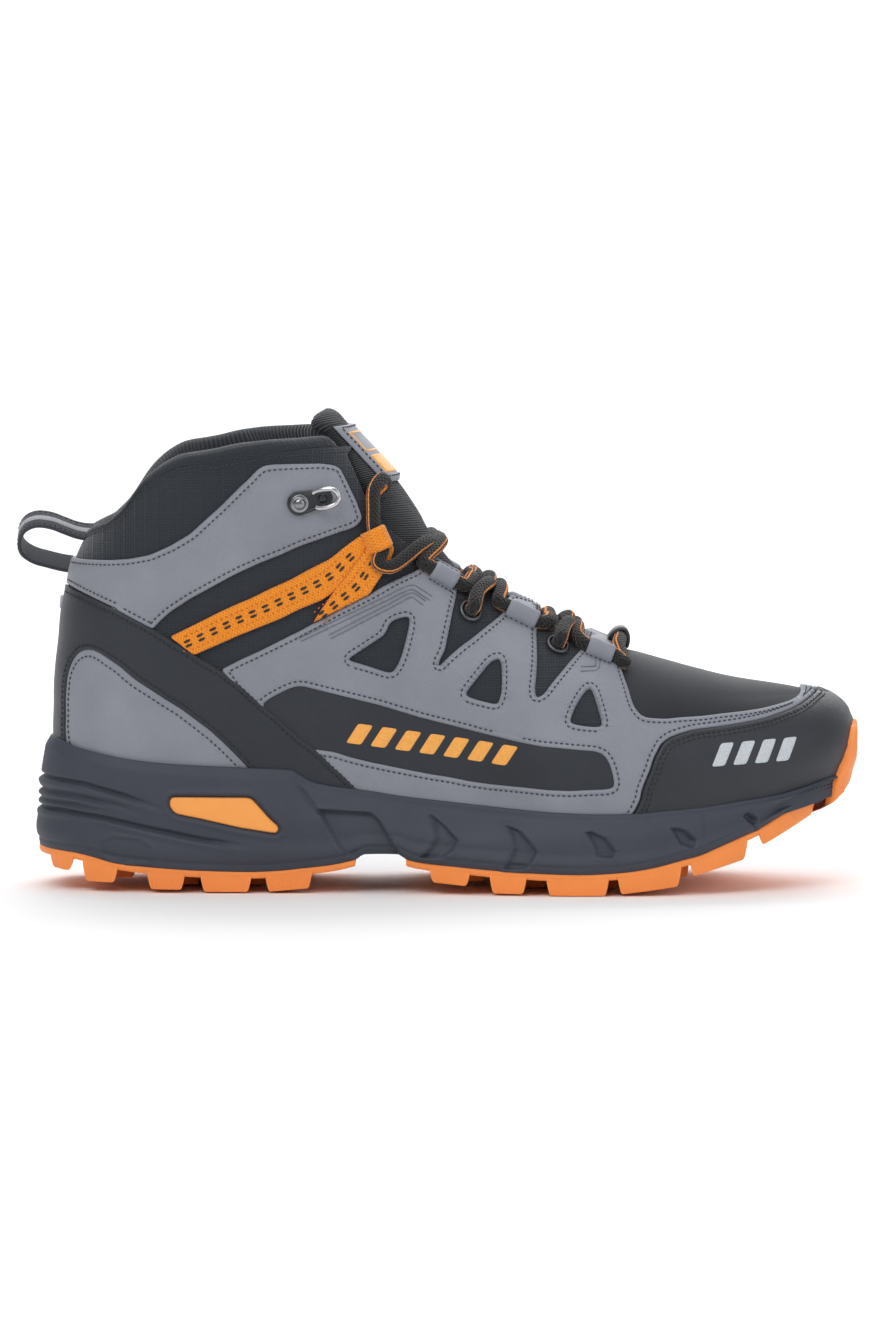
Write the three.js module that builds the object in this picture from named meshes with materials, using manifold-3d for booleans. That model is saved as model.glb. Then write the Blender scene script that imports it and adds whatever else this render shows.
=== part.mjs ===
// Mid-cut hiking boot (right foot), millimetres, +X toe, +Z up, +Y inner side of the foot.
import * as THREE from 'three';
import Module from 'manifold-3d';
const wasm = await Module();
wasm.setup();
const { Manifold, Mesh } = wasm;

// ---------------------------------------------------------- main dimensions
const WALL_IN = 1.75;      // gap left for the overlays inside the midsole cup
const PLATE = 2.3;         // outsole plate thickness
const TOE_SWING = 4.5;     // inward swing of the toe
const LACE_R = 2.05, LACE_STEPS = 150;
const EYELET_R = 2.9;     // eyelet bore
const EYELETS = [[11.3, 102.0], [43.2, 89.2]];
const BAR_L = 115.5;         // place of the lowest lace bar along the front profile
const COLLAR_FRONT = 0.84; // how far forward the padded collar reaches
const TONGUE_GAP = 7.5;    // free space beside the upper tongue
const FOLD = [-8, 140];    // tongue fold, side view
const LOOP_W = 10, LOOP_TILT = -30;
const ORIGIN_SHIFT = [-0.42, 0.49, 0];

// Side-view curves, [x, z]: heel profile, instep ridge, toe profile, feather
// edge and collar line; then half widths of the foot and ankle and the
// outlines of the sewn-on parts.
const BACK = [[-141.5,28.0],[-141.4,34.0],[-141.2,48.8],[-141.0,60.0],[-141.0,70.0],[-140.2,80.0],[-139.1,90.0],[-138.3,100.0],[-136.6,109.0],[-135.4,116.0],[-133.6,121.5],[-131.4,126.5],[-128.8,131.7],[-126.5,140.0],[-125.5,150.0],[-125.0,160.0],[-125.0,182.0]];
const RIDGE = [[151.6,61.0],[150.7,63.4],[148.4,66.4],[145.5,68.6],[141.8,70.4],[138.1,71.2],[133.6,71.9],[128.1,72.9],[120.6,74.2],[113.2,75.5],[105.8,76.9],[98.4,78.6],[91.0,80.5],[83.6,82.7],[74.4,85.3],[67.7,86.8],[59.6,90.5],[50.3,94.6],[41.1,99.4],[31.8,104.2],[22.6,109.4],[15.2,114.6],[7.8,120.9],[2.2,126.4],[-2.6,132.3],[-5.5,137.1],[-8.9,141.9],[-12.9,147.1],[-17.4,152.3],[-21.8,157.1],[-26.2,161.9],[-30.3,166.3],[-32.9,169.3],[-36.5,173.4],[-39.6,176.8]];
const TOE = [[147.0,24.0],[148.2,34.0],[149.5,42.3],[151.0,47.0],[152.2,53.0],[152.3,58.0],[151.6,61.0],[150.7,63.4],[148.4,66.4],[145.5,68.6],[141.8,70.4],[138.1,71.2]];
const FEATHER = [[-141.5,33.0],[-110.0,31.5],[-60.0,28.5],[-20.0,24.5],[20.0,21.0],[60.0,19.8],[80.0,21.2],[95.0,24.0],[110.0,28.0],[125.0,32.3],[140.0,36.6],[148.9,38.5]];
const TOPLINE = [[-128.8,131.7],[-126.6,133.6],[-124.6,134.9],[-120.9,136.6],[-117.9,139.0],[-115.2,141.7],[-112.9,145.0],[-110.3,149.2],[-108.4,152.0],[-106.5,154.2],[-103.8,156.6],[-100.8,158.7],[-94.3,161.6],[-87.0,162.8],[-81.5,163.8],[-76.1,165.1],[-68.8,166.4],[-61.5,167.5],[-54.2,168.3],[-47.0,168.8],[-41.5,168.9],[-32.9,169.3]];
const WIDTH_FOOT = [[-150.0,34.0],[-110.0,34.5],[-80.0,34.5],[-40.0,34.5],[-10.0,37.0],[20.0,42.5],[45.0,47.0],[62.0,48.5],[80.0,48.0],[95.0,45.5],[110.0,42.5],[125.0,39.0],[155.0,35.0]];
const WIDTH_ANKLE = [[20.0,33.5],[34.0,34.5],[60.0,34.5],[90.0,33.0],[120.0,33.5],[140.0,36.0],[155.0,37.2],[168.0,36.5],[182.0,34.0]];
const THROAT = [[-33.7,159.2],[-26.7,143.6],[-23.0,137.4],[-17.2,131.1],[-9.9,125.1],[16.0,110.2],[46.0,94.8],[68.6,85.2]];
const ANKLE_BAND = [[-135.9,119.8],[-112.8,121.5],[-105.4,123.1],[-98.0,126.5],[-90.7,130.9],[-79.7,140.8],[-66.9,153.6],[-63.3,155.9],[-43.4,156.3],[-39.0,155.5],[-36.8,154.4],[-30.6,142.7],[-28.4,136.9],[-28.6,135.5],[-29.9,134.0],[-32.4,132.6],[-50.7,126.4],[-76.2,115.1],[-90.8,107.1],[-98.1,102.3],[-104.4,96.1],[-116.5,102.2],[-135.1,110.1],[-136.3,112.1]];
const CAGE = [[-79.6,81.1],[-50.7,95.3],[-17.9,112.9],[-8.8,116.7],[-5.8,118.7],[-2.9,121.7],[8.1,115.2],[6.6,110.5],[2.2,88.4],[0.0,84.0],[0.0,82.2],[7.7,89.4],[22.3,100.2],[23.5,101.6],[25.4,106.6],[37.3,101.7],[35.5,93.7],[35.8,82.9],[35.0,74.1],[35.4,71.6],[36.4,71.3],[38.6,72.7],[44.2,79.7],[51.7,87.3],[52.9,89.2],[53.4,92.3],[55.5,93.5],[59.5,92.4],[65.8,89.0],[66.3,81.1],[71.1,67.5],[74.4,63.9],[82.4,63.0],[117.7,65.7],[129.2,67.9],[132.0,69.0],[133.8,70.7],[133.8,72.5]];
const CAGE_TOE = [[140.4,71.7],[139.0,69.9],[132.8,66.5],[121.3,62.9],[110.0,60.8],[91.5,58.7],[83.0,56.1],[80.8,54.4],[77.9,49.0],[73.8,38.2],[73.1,34.6],[69.9,28.7]];
const CAGE_BOT = [[58.6,28.4],[44.0,28.3],[29.5,29.4],[-14.2,34.3],[-25.9,36.1]];
const W1 = [[-33.6,84.7],[-19.7,93.9],[-17.9,98.6],[-14.2,100.1],[-11.3,100.6],[-10.6,99.3],[-11.3,95.0],[-13.5,86.5],[-15.3,82.2],[-17.5,79.6],[-25.2,82.2]];
const W2 = [[9.5,72.4],[18.6,83.7],[21.2,85.1],[22.6,84.4],[23.0,74.0],[22.3,70.4],[21.2,68.5],[11.3,70.9]];
const W3 = [[54.4,74.3],[55.8,74.0],[57.6,68.7],[59.3,62.7],[59.0,60.6],[53.1,61.0],[48.4,62.0],[47.7,63.1],[49.5,67.7],[52.1,71.9]];
const SIDE_PANEL = [[-64.6,68.3],[-61.7,70.5],[-54.4,74.2],[-49.6,74.9],[-21.5,68.0],[-6.9,63.6],[29.5,55.0],[36.8,53.7],[56.7,52.0],[59.6,51.0],[61.5,48.4],[62.6,45.5],[63.6,40.1],[62.9,39.0],[47.7,37.9],[18.6,39.7],[11.3,40.6],[-25.2,47.5],[-38.0,51.1],[-46.4,52.2]];
const STRAP_TOP = [[-138.2,110.6],[-129.8,108.1],[-116.5,102.5],[-104.4,96.1],[-79.6,80.7],[-72.7,75.6],[-58.1,63.2],[-50.8,56.3],[-44.6,51.9],[-28.9,36.8],[-26.7,35.7]];
const STRAP_LOW = [[-69.0,44.2],[-83.6,58.8],[-94.5,66.9],[-111.0,77.4],[-116.5,82.1],[-124.0,86.9],[-127.0,87.9],[-129.7,87.4],[-131.6,86.1],[-133.2,83.8],[-134.7,80.1],[-136.3,69.0],[-136.3,57.9],[-135.5,51.8]];
const MID_TOP = [[-138.7,53.2],[-135.5,51.9],[-116.5,48.2],[-98.2,46.1],[-54.4,43.9],[-50.8,42.1],[-47.1,39.9],[-41.6,38.4],[-25.2,36.2],[-14.2,34.4],[4.0,32.2],[22.2,30.4],[40.4,29.1],[58.5,28.5],[73.1,28.8],[95.1,30.6],[124.8,34.3],[136.2,36.9],[145.6,39.6]];
const WEB1 = [[-98.2,93.2],[-79.9,102.3],[-54.3,114.0],[-39.7,121.7],[-28.8,130.0],[-26.6,125.3],[-28.1,122.4],[-36.8,111.1],[-39.8,108.5],[-43.4,106.3],[-50.7,103.4],[-58.0,99.7],[-89.6,86.4]];
const WEB2 = [[-24.4,131.0],[-26.6,125.3],[-41.6,105.2],[-46.0,98.3],[-25.2,108.9],[-18.2,120.4],[-17.2,123.6],[-17.2,125.4]];
const INSERT = [[-97.9,35.3],[-69.5,35.3],[-67.7,34.5],[-61.5,27.6],[-58.2,24.7],[-57.9,22.9],[-59.0,21.4],[-60.8,21.4],[-72.4,23.2],[-96.1,28.3],[-98.2,30.2],[-99.0,32.4],[-98.6,34.2]];
// ---------------------------------------------------------------- helpers
function pchip(pts, kx, ky) {
  const xs = pts.map((p) => p[kx]), ys = pts.map((p) => p[ky]);
  if (xs[0] > xs[xs.length - 1]) { xs.reverse(); ys.reverse(); }
  const n = xs.length, h = [], d = [], m = new Array(n).fill(0);
  for (let i = 0; i < n - 1; i++) { h.push(xs[i + 1] - xs[i]); d.push((ys[i + 1] - ys[i]) / h[i]); }
  for (let i = 1; i < n - 1; i++) if (d[i - 1] * d[i] > 0) {
    const w1 = 2 * h[i] + h[i - 1], w2 = h[i] + 2 * h[i - 1];
    m[i] = (w1 + w2) / (w1 / d[i - 1] + w2 / d[i]);
  }
  m[0] = d[0]; m[n - 1] = d[n - 2];
  return (x) => {
    const xc = Math.min(Math.max(x, xs[0]), xs[n - 1]);
    let i = 0; while (i < n - 2 && xs[i + 1] <= xc) i++;
    const t = (xc - xs[i]) / h[i], t2 = t * t, t3 = t2 * t;
    let r = (2 * t3 - 3 * t2 + 1) * ys[i] + (t3 - 2 * t2 + t) * h[i] * m[i] + (-2 * t3 + 3 * t2) * ys[i + 1] + (t3 - t2) * h[i] * m[i + 1];
    if (x < xs[0]) r += (x - xs[0]) * m[0];
    if (x > xs[n - 1]) r += (x - xs[n - 1]) * m[n - 1];
    return r;
  };
}
const clamp = (t, a = 0, b = 1) => Math.min(b, Math.max(a, t));
const smooth = (t) => { t = clamp(t); return t * t * (3 - 2 * t); };
const cap = (t, p = 2) => Math.pow(Math.max(0, 1 - Math.pow(1 - clamp(t), p)), 1 / p);
const V = (x, y, z) => new THREE.Vector3(x, y, z);

// ------------------------------------------------------- lasted upper shape
const xBack = pchip(BACK, 1, 0);
const zRidge = pchip(RIDGE, 0, 1);
const xToe = pchip(TOE, 1, 0);
const xAnkle = pchip(RIDGE.filter((p) => p[1] >= 70), 1, 0);
const zFeather = pchip(FEATHER, 0, 1);
const wFoot = pchip(WIDTH_FOOT, 0, 1);
const wAnkle = pchip(WIDTH_ANKLE, 0, 1);
const zTopline = pchip(TOPLINE, 0, 1);
const yCentre = (x) => TOE_SWING * smooth((x - 30) / 120) - 0.5 * smooth((-x - 60) / 60);

// half width of the upper at a side-view point
function halfWidth(x, z) {
  const zf = zFeather(x), zr = Math.max(zRidge(clamp(x, -39, 151.5)), zf + 1);
  const q = clamp((z - zf) / (zr - zf)), m = 2.3 + 0.7 * smooth(x / 30) + 0.2 * smooth((x - 70) / 60);
  const foot = wFoot(x) * cap((xToe(clamp(z, 20, 70.3)) - x) / 46, 2.15) * Math.sqrt(Math.max(0, 1 - Math.pow(q, m))) * (1 - 0.05 * Math.pow(1 - q, 5));
  const ankle = wAnkle(z) * cap((xAnkle(Math.max(z, 70.4)) - x) / 43) * cap((x - xBack(z)) / 36, 2.1);
  const t = smooth((45 - x) / 52);
  return (1 - t) * foot + t * ankle;
}
// arc length along the front profile, from the toe feather to the tongue tip
const FRONT = [[148.9, 38.5], [149.5, 42.3], [151, 47], [152.2, 53], [152.3, 58], ...RIDGE];
const FRONT_S = [0];
for (let i = 1; i < FRONT.length; i++) FRONT_S.push(FRONT_S[i - 1] + Math.hypot(FRONT[i][0] - FRONT[i - 1][0], FRONT[i][1] - FRONT[i - 1][1]));
const frontX = pchip(FRONT.map((p, i) => [FRONT_S[i], p[0]]), 0, 1);
const frontZ = pchip(FRONT.map((p, i) => [FRONT_S[i], p[1]]), 0, 1);
const S_TOP = FRONT_S[FRONT.findIndex((p) => p[0] === -32.9)];
const frontArc = pchip([[0, 0], [0.12, 14], [0.25, 34], [0.4, 75], [0.55, 115], [0.7, 158], [0.85, 200], [1, S_TOP], [1.06, S_TOP + 10]], 0, 1);

function surfPoint(th, v) {
  const s = (1 - Math.cos(th)) / 2, zB = 33 + 98.7 * v, xB = xBack(zB);
  const a = frontArc(v), xF = frontX(a), zF = frontZ(a);
  const x = xB + s * (xF - xB), dv = clamp(v);
  const d0 = zFeather(-141.5 + s * 290.4) - (33 + s * 5.5), d1 = zTopline(-128.8 + s * 95.9) - (131.7 + s * 37.6);
  let z = zB + s * (zF - zB) + Math.pow(1 - dv, 1.6) * d0 + Math.pow(dv, 2.6) * d1;
  if (x > -33) z = Math.min(z, zRidge(clamp(x, -39.6, 151.6)));
  const sn = Math.sin(th);
  return V(x, yCentre(x) + (Math.abs(sn) < 1e-9 ? 0 : (sn > 0 ? -1 : 1) * halfWidth(x, z)), z);
}
function surfNormal(th, v) {
  const e = 0.012, a = surfPoint(th + e, v).sub(surfPoint(th - e, v)), b = surfPoint(th, v + 0.006).sub(surfPoint(th, v - 0.006));
  return a.cross(b).normalize();
}
const surf = (th, v, off) => surfPoint(th, v).addScaledVector(surfNormal(th, v), off);
// point on one side of the upper at side-view (x, z), raised by off along the normal
function sideNormal(x, z, side) {
  const e = 0.6, gx = (halfWidth(x + e, z) - halfWidth(x - e, z)) / (2 * e), gz = (halfWidth(x, z + e) - halfWidth(x, z - e)) / (2 * e);
  return V(-gx, side, -gz).normalize();
}
const sidePoint = (x, z, side, off = 0) => V(x, yCentre(x) + side * halfWidth(x, z), z).addScaledVector(sideNormal(x, z, side), off);

// ------------------------------------------------------------ mesh builders
function toManifold(pos, tri) {
  const mesh = new Mesh({ numProp: 3, vertProperties: new Float32Array(pos.flat()), triVerts: new Uint32Array(tri.flat()) });
  const m = new Manifold(mesh);
  if (m.volume() < 0) return toManifold(pos, tri.map((t) => [t[0], t[2], t[1]]));
  return m;
}
const vol6 = (pos, tri) => tri.reduce((s, [a, b, c]) => s + pos[a][0] * (pos[b][1] * pos[c][2] - pos[b][2] * pos[c][1]) + pos[a][1] * (pos[b][2] * pos[c][0] - pos[b][0] * pos[c][2]) + pos[a][2] * (pos[b][0] * pos[c][1] - pos[b][1] * pos[c][0]), 0);
function solid(pos, tri) {
  if (vol6(pos, tri) < 0) tri = tri.map((t) => [t[0], t[2], t[1]]);
  return toManifold(pos, tri);
}
// rings: closed loops of equal even length; ends closed by a ladder of quads
function loft(rings, closedTube = false) {
  const n = rings[0].length, pos = rings.flat().map((p) => [p.x, p.y, p.z]), tri = [];
  const R = rings.length, last = closedTube ? R : R - 1;
  for (let k = 0; k < last; k++) for (let i = 0; i < n; i++) {
    const a = k * n + i, b = k * n + (i + 1) % n, c = ((k + 1) % R) * n + (i + 1) % n, d = ((k + 1) % R) * n + i;
    if (closedTube && k >= R / 2) tri.push([a, b, d], [b, c, d]); else tri.push([a, b, c], [a, c, d]);
  }
  if (!closedTube) {
    const capTri = (k, flip) => {
      const o = k * n, out = [];
      for (let i = 0; i < n / 2; i++) {
        const a = i, b = i + 1, c = (n - i - 1) % n, d = (n - i) % n;
        if (i === 0) out.push([o, o + b, o + c]);
        else if (b === c) out.push([o + a, o + b, o + d]);
        else out.push([o + a, o + b, o + c], [o + a, o + c, o + d]);
      }
      return flip ? out.map((t) => [t[0], t[2], t[1]]) : out;
    };
    tri.push(...capTri(0, true), ...capTri(R - 1, false));
  }
  return solid(pos, tri);
}
const NTH = 38;
const VG = [0.015, 0.11, 0.21, 0.31, 0.41, 0.51, 0.61, 0.71, 0.8, 0.885, 0.955];
const thetas = (n = NTH) => [...Array(n).keys()].map((i) => (i / n) * 2 * Math.PI);
// ring-shaped layer of the upper between two normal offsets
function layer(vs, o0, o1, n = NTH) {
  const loops = [], ths = thetas(n);
  for (const v of vs) loops.push(ths.map((t) => surf(t, v, o1)));
  for (const v of [...vs].reverse()) loops.push(ths.map((t) => surf(t, v, o0)));
  return loft(loops, true);
}
// straight-sided cutter: outline in the side view, spanning y0..y1
function prism(outline, y0, y1) {
  // a hair of unevenness keeps every outline corner in the triangulation
  outline = outline.map((p, i) => [p[0] + 0.002 * Math.sin(i * 12.9 + 1), p[1] + 0.002 * Math.cos(i * 7.7)]);
  const g = new THREE.ExtrudeGeometry(new THREE.Shape(outline.map((p) => new THREE.Vector2(p[0], p[1]))), { depth: y1 - y0, bevelEnabled: false });
  g.rotateX(Math.PI / 2); g.translate(0, y1, 0);
  return fromGeometry(g);
}
function fromGeometry(g) {
  g = g.index ? g.toNonIndexed() : g;
  const p = g.attributes.position, pos = [], tri = [], seen = new Map(), id = [];
  for (let i = 0; i < p.count; i++) {
    const q = [p.getX(i), p.getY(i), p.getZ(i)], k = q.map((c) => Math.round(c * 1e4)).join(' ');
    if (!seen.has(k)) { seen.set(k, pos.length); pos.push(q); }
    id.push(seen.get(k));
  }
  for (let i = 0; i < p.count; i += 3) { const t = [id[i], id[i + 1], id[i + 2]]; if (t[0] !== t[1] && t[1] !== t[2] && t[0] !== t[2]) tri.push(t); }
  return solid(pos, tri);
}
const halfSpace = (x0, x1, y0, y1, z0, z1) => prism([[x0, z0], [x1, z0], [x1, z1], [x0, z1]], y0, y1);
const LAT = [-90, -0.15], MED = [0.15, 90];
const sideRange = (s) => (s < 0 ? LAT : MED);
function sweep(path, section, up) {
  const rings = [], n = path.length;
  let prev = null;
  for (let i = 0; i < n; i++) {
    const t = path[Math.min(n - 1, i + 1)].clone().sub(path[Math.max(0, i - 1)]).normalize();
    let u;
    if (up) u = up.clone().addScaledVector(t, -up.dot(t)).normalize();
    else if (!prev) { u = Math.abs(t.z) < 0.9 ? V(0, 0, 1) : V(1, 0, 0); u.addScaledVector(t, -u.dot(t)).normalize(); }
    else u = prev.clone().addScaledVector(t, -prev.dot(t)).normalize();
    prev = u;
    const w = t.clone().cross(u);
    rings.push(section.map(([a, b]) => path[i].clone().addScaledVector(w, a).addScaledVector(u, b)));
  }
  return loft(rings);
}
const circle = (r, n) => [...Array(n).keys()].map((i) => [r * Math.cos((2 * Math.PI * i) / n), r * Math.sin((2 * Math.PI * i) / n)]);
// solid of section points (a, b) in the frame (w, n), run along u
function along(centre, u, w, n, section, l0, l1) {
  return loft([l0, l1].map((l) => section.map(([a, b]) => centre.clone().addScaledVector(u, l).addScaledVector(w, a).addScaledVector(n, b))));
}
function turned(profile, centre, axis, seg = 16) {
  const g = new THREE.LatheGeometry(profile.map((p) => new THREE.Vector2(p[0], p[1])), seg);
  g.applyQuaternion(new THREE.Quaternion().setFromUnitVectors(V(0, 1, 0), axis)); g.translate(centre.x, centre.y, centre.z);
  return fromGeometry(g);
}
const minus = (a, ...bs) => bs.reduce((m, b) => m.subtract(b), a);
const plus = (...ms) => ms.reduce((a, b) => a.add(b));
const shrink = (outline, d) => { // move every edge inwards by d
  const n = outline.length; let area = 0;
  outline.forEach((p, i) => { const q = outline[(i + 1) % n]; area += p[0] * q[1] - q[0] * p[1]; });
  const s = Math.sign(area);
  return outline.map((p, i) => {
    const a = outline[(i + n - 1) % n], b = outline[(i + 1) % n];
    const e1 = [p[0] - a[0], p[1] - a[1]], e2 = [b[0] - p[0], b[1] - p[1]], l1 = Math.hypot(...e1), l2 = Math.hypot(...e2);
    const n1 = [-e1[1] / l1 * s, e1[0] / l1 * s], n2 = [-e2[1] / l2 * s, e2[0] / l2 * s];
    const bx = n1[0] + n2[0], by = n1[1] + n2[1], L = Math.hypot(bx, by) || 1, c = Math.max(0.45, (n1[0] * bx + n1[1] * by) / L);
    return [p[0] + (bx / L) * (d / c), p[1] + (by / L) * (d / c)];
  });
};

// ------------------------------------------------------------ node registry
const boot = new THREE.Group();
boot.name = 'hiking_boot';
function add(name, m, colour, roughness, metalness = 0) {
  // trimming can leave loose slivers: keep the main body only
  const bodies = m.decompose().sort((a, b) => b.volume() - a.volume());
  m = bodies[0].simplify(0.06);
  const src = m.getMesh(), g = new THREE.BufferGeometry(), pos = new Float32Array(src.numVert * 3);
  for (let i = 0; i < src.numVert; i++) for (let k = 0; k < 3; k++) pos[3 * i + k] = src.vertProperties[i * src.numProp + k];
  g.setAttribute('position', new THREE.BufferAttribute(pos, 3));
  g.setIndex(new THREE.BufferAttribute(new Uint32Array(src.triVerts), 1));
  g.computeVertexNormals();
  const mesh = new THREE.Mesh(g, new THREE.MeshStandardMaterial({ color: colour, roughness, metalness }));
  mesh.name = name;
  boot.add(mesh);
}
const GREY = 0x8b8d96, BLACK = 0x36383d, NAVY = 0x2b2f37, SOLE = 0x43474f, ORANGE = 0xf5813c, WEB = 0xf9962e, KNIT = 0x26282c, CORD = 0x2a2725;

// --------------------------------------------------------------------- sole
const botLine = pchip([[-150, 14.9], [-147, 14.7], [-134.1, 13.9], [-116, 10.4], [-105.1, 9.3], [-86.9, 8.2], [-68.7, 7.8], [-57.8, 8.3], [-50.5, 9.1], [-39.6, 10.4], [-31, 12.4], [-27, 14.4], [-15, 14.6], [-11, 12.4], [-3.3, 11.1], [4, 10.4], [22.2, 8.9], [40.4, 8], [51.3, 7.8], [65.8, 8.5], [76.7, 10], [87.6, 12.6], [94.9, 14.4], [102.2, 17.3], [109.4, 20.2], [116.7, 23.1], [123.9, 26.8], [131.2, 30.6], [136.6, 34], [141, 37.5], [146, 40]], 0, 1);
const topLine = pchip([...MID_TOP, [150, 40]], 0, 1);
const plan = [[0, 0, 0], [0.02, 22, 22], [0.05, 31, 31], [0.1, 38, 37], [0.2, 42, 40], [0.3, 42.5, 38], [0.4, 43.5, 36.5], [0.5, 47, 40], [0.6, 51.5, 46.5], [0.68, 54, 51.5], [0.75, 53.5, 53], [0.85, 46.5, 49], [0.92, 35, 40], [0.97, 20, 26], [1, 0, 0]];
const thetaOf = (t) => Math.acos(1 - 2 * t);
const planLat = pchip(plan.map((p) => [thetaOf(p[0]), p[1]]), 0, 1), planMed = pchip(plan.map((p) => [thetaOf(p[0]), p[2]]), 0, 1);
const NS = 48, soleThetas = thetas(NS);
const SOLE_X0 = -148.2, SOLE_X1 = 144;
function soleOutline(th) {
  const t = th <= Math.PI ? th : 2 * Math.PI - th, x = SOLE_X0 + ((1 - Math.cos(t)) / 2) * (SOLE_X1 - SOLE_X0);
  return [x, th <= Math.PI ? -planLat(t) : planMed(t)];
}
const topRing = soleThetas.map((th) => {
  let a = -0.02, b = 0.6;
  for (let i = 0; i < 30; i++) { const c = (a + b) / 2, p = surf(th, c, WALL_IN + 1.25); if (p.z < topLine(clamp(p.x, -141, 150))) a = c; else b = c; }
  return surf(th, a, WALL_IN + 1.25);
});
const levels = [[0.0, 0, 0], [0.09, 0.1, 1.3], [0.26, 0.45, 1.0], [0.45, 0.85, 0.2], [0.62, 1, -0.2], [0.84, 1, 1.0], [1, 1, -0.4]];
const lasted = (off, v0 = -0.03, v1 = 0.61) => loft([v0, ...VG.filter((v) => v > v0 + 0.01 && v < v1 - 0.01), v1].map((v) => thetas().map((t) => surf(t, v, off))));
const soleRings = levels.map(([f, mix, out]) => soleThetas.map((th, i) => {
  const T = topRing[i], [ox, oy] = soleOutline(th);
  const [ax, ay] = soleOutline((th + 0.02) % (2 * Math.PI)), [bx, by] = soleOutline((th - 0.02 + 2 * Math.PI) % (2 * Math.PI));
  let nx = by - ay, ny = ax - bx; const L = Math.hypot(nx, ny); nx /= -L; ny /= -L;
  const x = T.x + (ox - T.x) * mix + nx * out, y = T.y + (oy - T.y) * mix + ny * out;
  return V(x, y, T.z + (botLine(clamp(x, -149, 146)) - T.z) * f);
}));
const soleBody = loft(soleRings);
const insertCut = prism(INSERT, -70, -37.6), insertBody = (s) => soleBody.intersect(prism(shrink(INSERT, 0.3), s < 0 ? -70 : 34.6, s < 0 ? -38.4 : 70));
const insertPocket = (s) => prism(INSERT, s < 0 ? -70 : 34.0, s < 0 ? -37.8 : 70);
// toe bumper: part of the forefoot outsole that turns up over the toe
const bumperLayer = layer([-0.08, -0.03, 0.015, 0.06, 0.11, 0.16, 0.21, 0.26], WALL_IN, WALL_IN + 2.1, 80);
const bumperFront = fromGeometry(new THREE.ExtrudeGeometry(new THREE.Shape([[-20, 20], [28, 20], [26, 40], [19, 55], [10, 60.5], [-1, 60.5], [-12, 55], [-18, 40]].map((p) => new THREE.Vector2(...p))), { depth: 60, bevelEnabled: false }).applyMatrix4(new THREE.Matrix4().makeBasis(V(0, 1, 0), V(0, 0, 1), V(1, 0, 0)).setPosition(118, 0, 0)));
const toeBlock = lasted(WALL_IN + 2.1, -0.16, 0.2).intersect(prism([[127, 24.5], [134, 26.0], [141.4, 29.2], [145.1, 30.6], [148.8, 33.9], [154, 41], [154, 43], [146.4, 43], [146.4, 38.4], [143.6, 38], [141, 36.8], [136.6, 33.4], [131.2, 30.1], [127, 28]], -17, 24)).subtract(lasted(WALL_IN));
const bumper = plus(bumperLayer.intersect(bumperFront), toeBlock);
const bumperClear = lasted(WALL_IN + 2.5, -0.08, 0.4).intersect(fromGeometry(new THREE.ExtrudeGeometry(new THREE.Shape([[-20.4, 15], [28.4, 15], [26.4, 40], [19, 62], [-12, 62], [-18.4, 40]].map((p) => new THREE.Vector2(...p))), { depth: 60, bevelEnabled: false }).applyMatrix4(new THREE.Matrix4().makeBasis(V(0, 1, 0), V(0, 0, 1), V(1, 0, 0)).setPosition(146, 0, 0))));
let midsole = minus(soleBody, lasted(WALL_IN), insertPocket(-1), insertPocket(1), bumperClear);
add('midsole', midsole, SOLE, 0.62);
add('heel_insert_lateral', insertBody(-1), 0xf79a45, 0.5);
add('heel_insert_medial', insertBody(1), 0xf79a45, 0.5);

// outsole plates follow the midsole underside; lugs stand on the ground
const botRing = soleRings[soleRings.length - 1];
const plate = (drop0, drop1) => loft([botRing.map((p) => V(p.x, p.y, p.z - drop0)), botRing.map((p) => V(p.x, p.y, p.z - drop1))]);
const outPlate = plate(0.3, PLATE + 0.3);
const edgeY = (x, s) => { let best = null; for (let i = 0; i < NS; i++) { const a = botRing[i], b = botRing[(i + 1) % NS]; if ((a.x - x) * (b.x - x) <= 0 && Math.abs(b.x - a.x) > 1e-6) { const y = a.y + ((x - a.x) / (b.x - a.x)) * (b.y - a.y); if (best === null || s * y > s * best) best = y; } } return best ?? 0; };
function lug(x0, x1, yo0, yo1, yi0, yi1, z) { // tapered block from the plate down to z
  const top = (x) => botLine(x) - 1.4, e = 0.9, s = Math.sign(yo0 - yi0) || 1;
  const a = [V(x0, yo0, top(x0)), V(x1, yo1, top(x1)), V(x1, yi1, top(x1)), V(x0, yi0, top(x0))];
  const zz = (i) => (Array.isArray(z) ? z[i === 0 || i === 3 ? 0 : 1] : z);
  const b = [V(x0 + e, yo0 - s * e, zz(0)), V(x1 - e, yo1 - s * e, zz(1)), V(x1 - e, yi1 + s * e, zz(2)), V(x0 + e, yi0 + s * e, zz(3))];
  return loft([a, b]);
}
const outerLug = (x0, x1, s, depth, z) => lug(x0, x1, edgeY(x0, s) + s * 0.4, edgeY(x1, s) + s * 0.4, edgeY(x0, s) - s * depth, edgeY(x1, s) - s * depth, z);
const heelLugs = [], foreLugs = [];
for (const s of [-1, 1]) {
  heelLugs.push(outerLug(-143, -134, s, 10, 7.2), outerLug(-130.5, -118, s, 13, 3.4), outerLug(-106.5, -93, s, 13, 1.1), outerLug(-87, -69, s, 13, 0.3), outerLug(-63, -46.5, s, 13, [0.3, 1.8]));
  foreLugs.push(outerLug(-3.5, 11, s, 13, [4.4, 3]), outerLug(18.6, 31.8, s, 15, 0.5), outerLug(39.2, 61.5, s, 16, 0), outerLug(65, 88, s, 15, [0.4, 3.2]), outerLug(91.5, 112.5, s, 13, [6.5, 12.4]), outerLug(117, 133, s, 12, [16.5, 23.5]));
}
const blk = (x0, x1, y0, y1, z) => lug(x0, x1, y1, y1, y0, y0, z);
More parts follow.
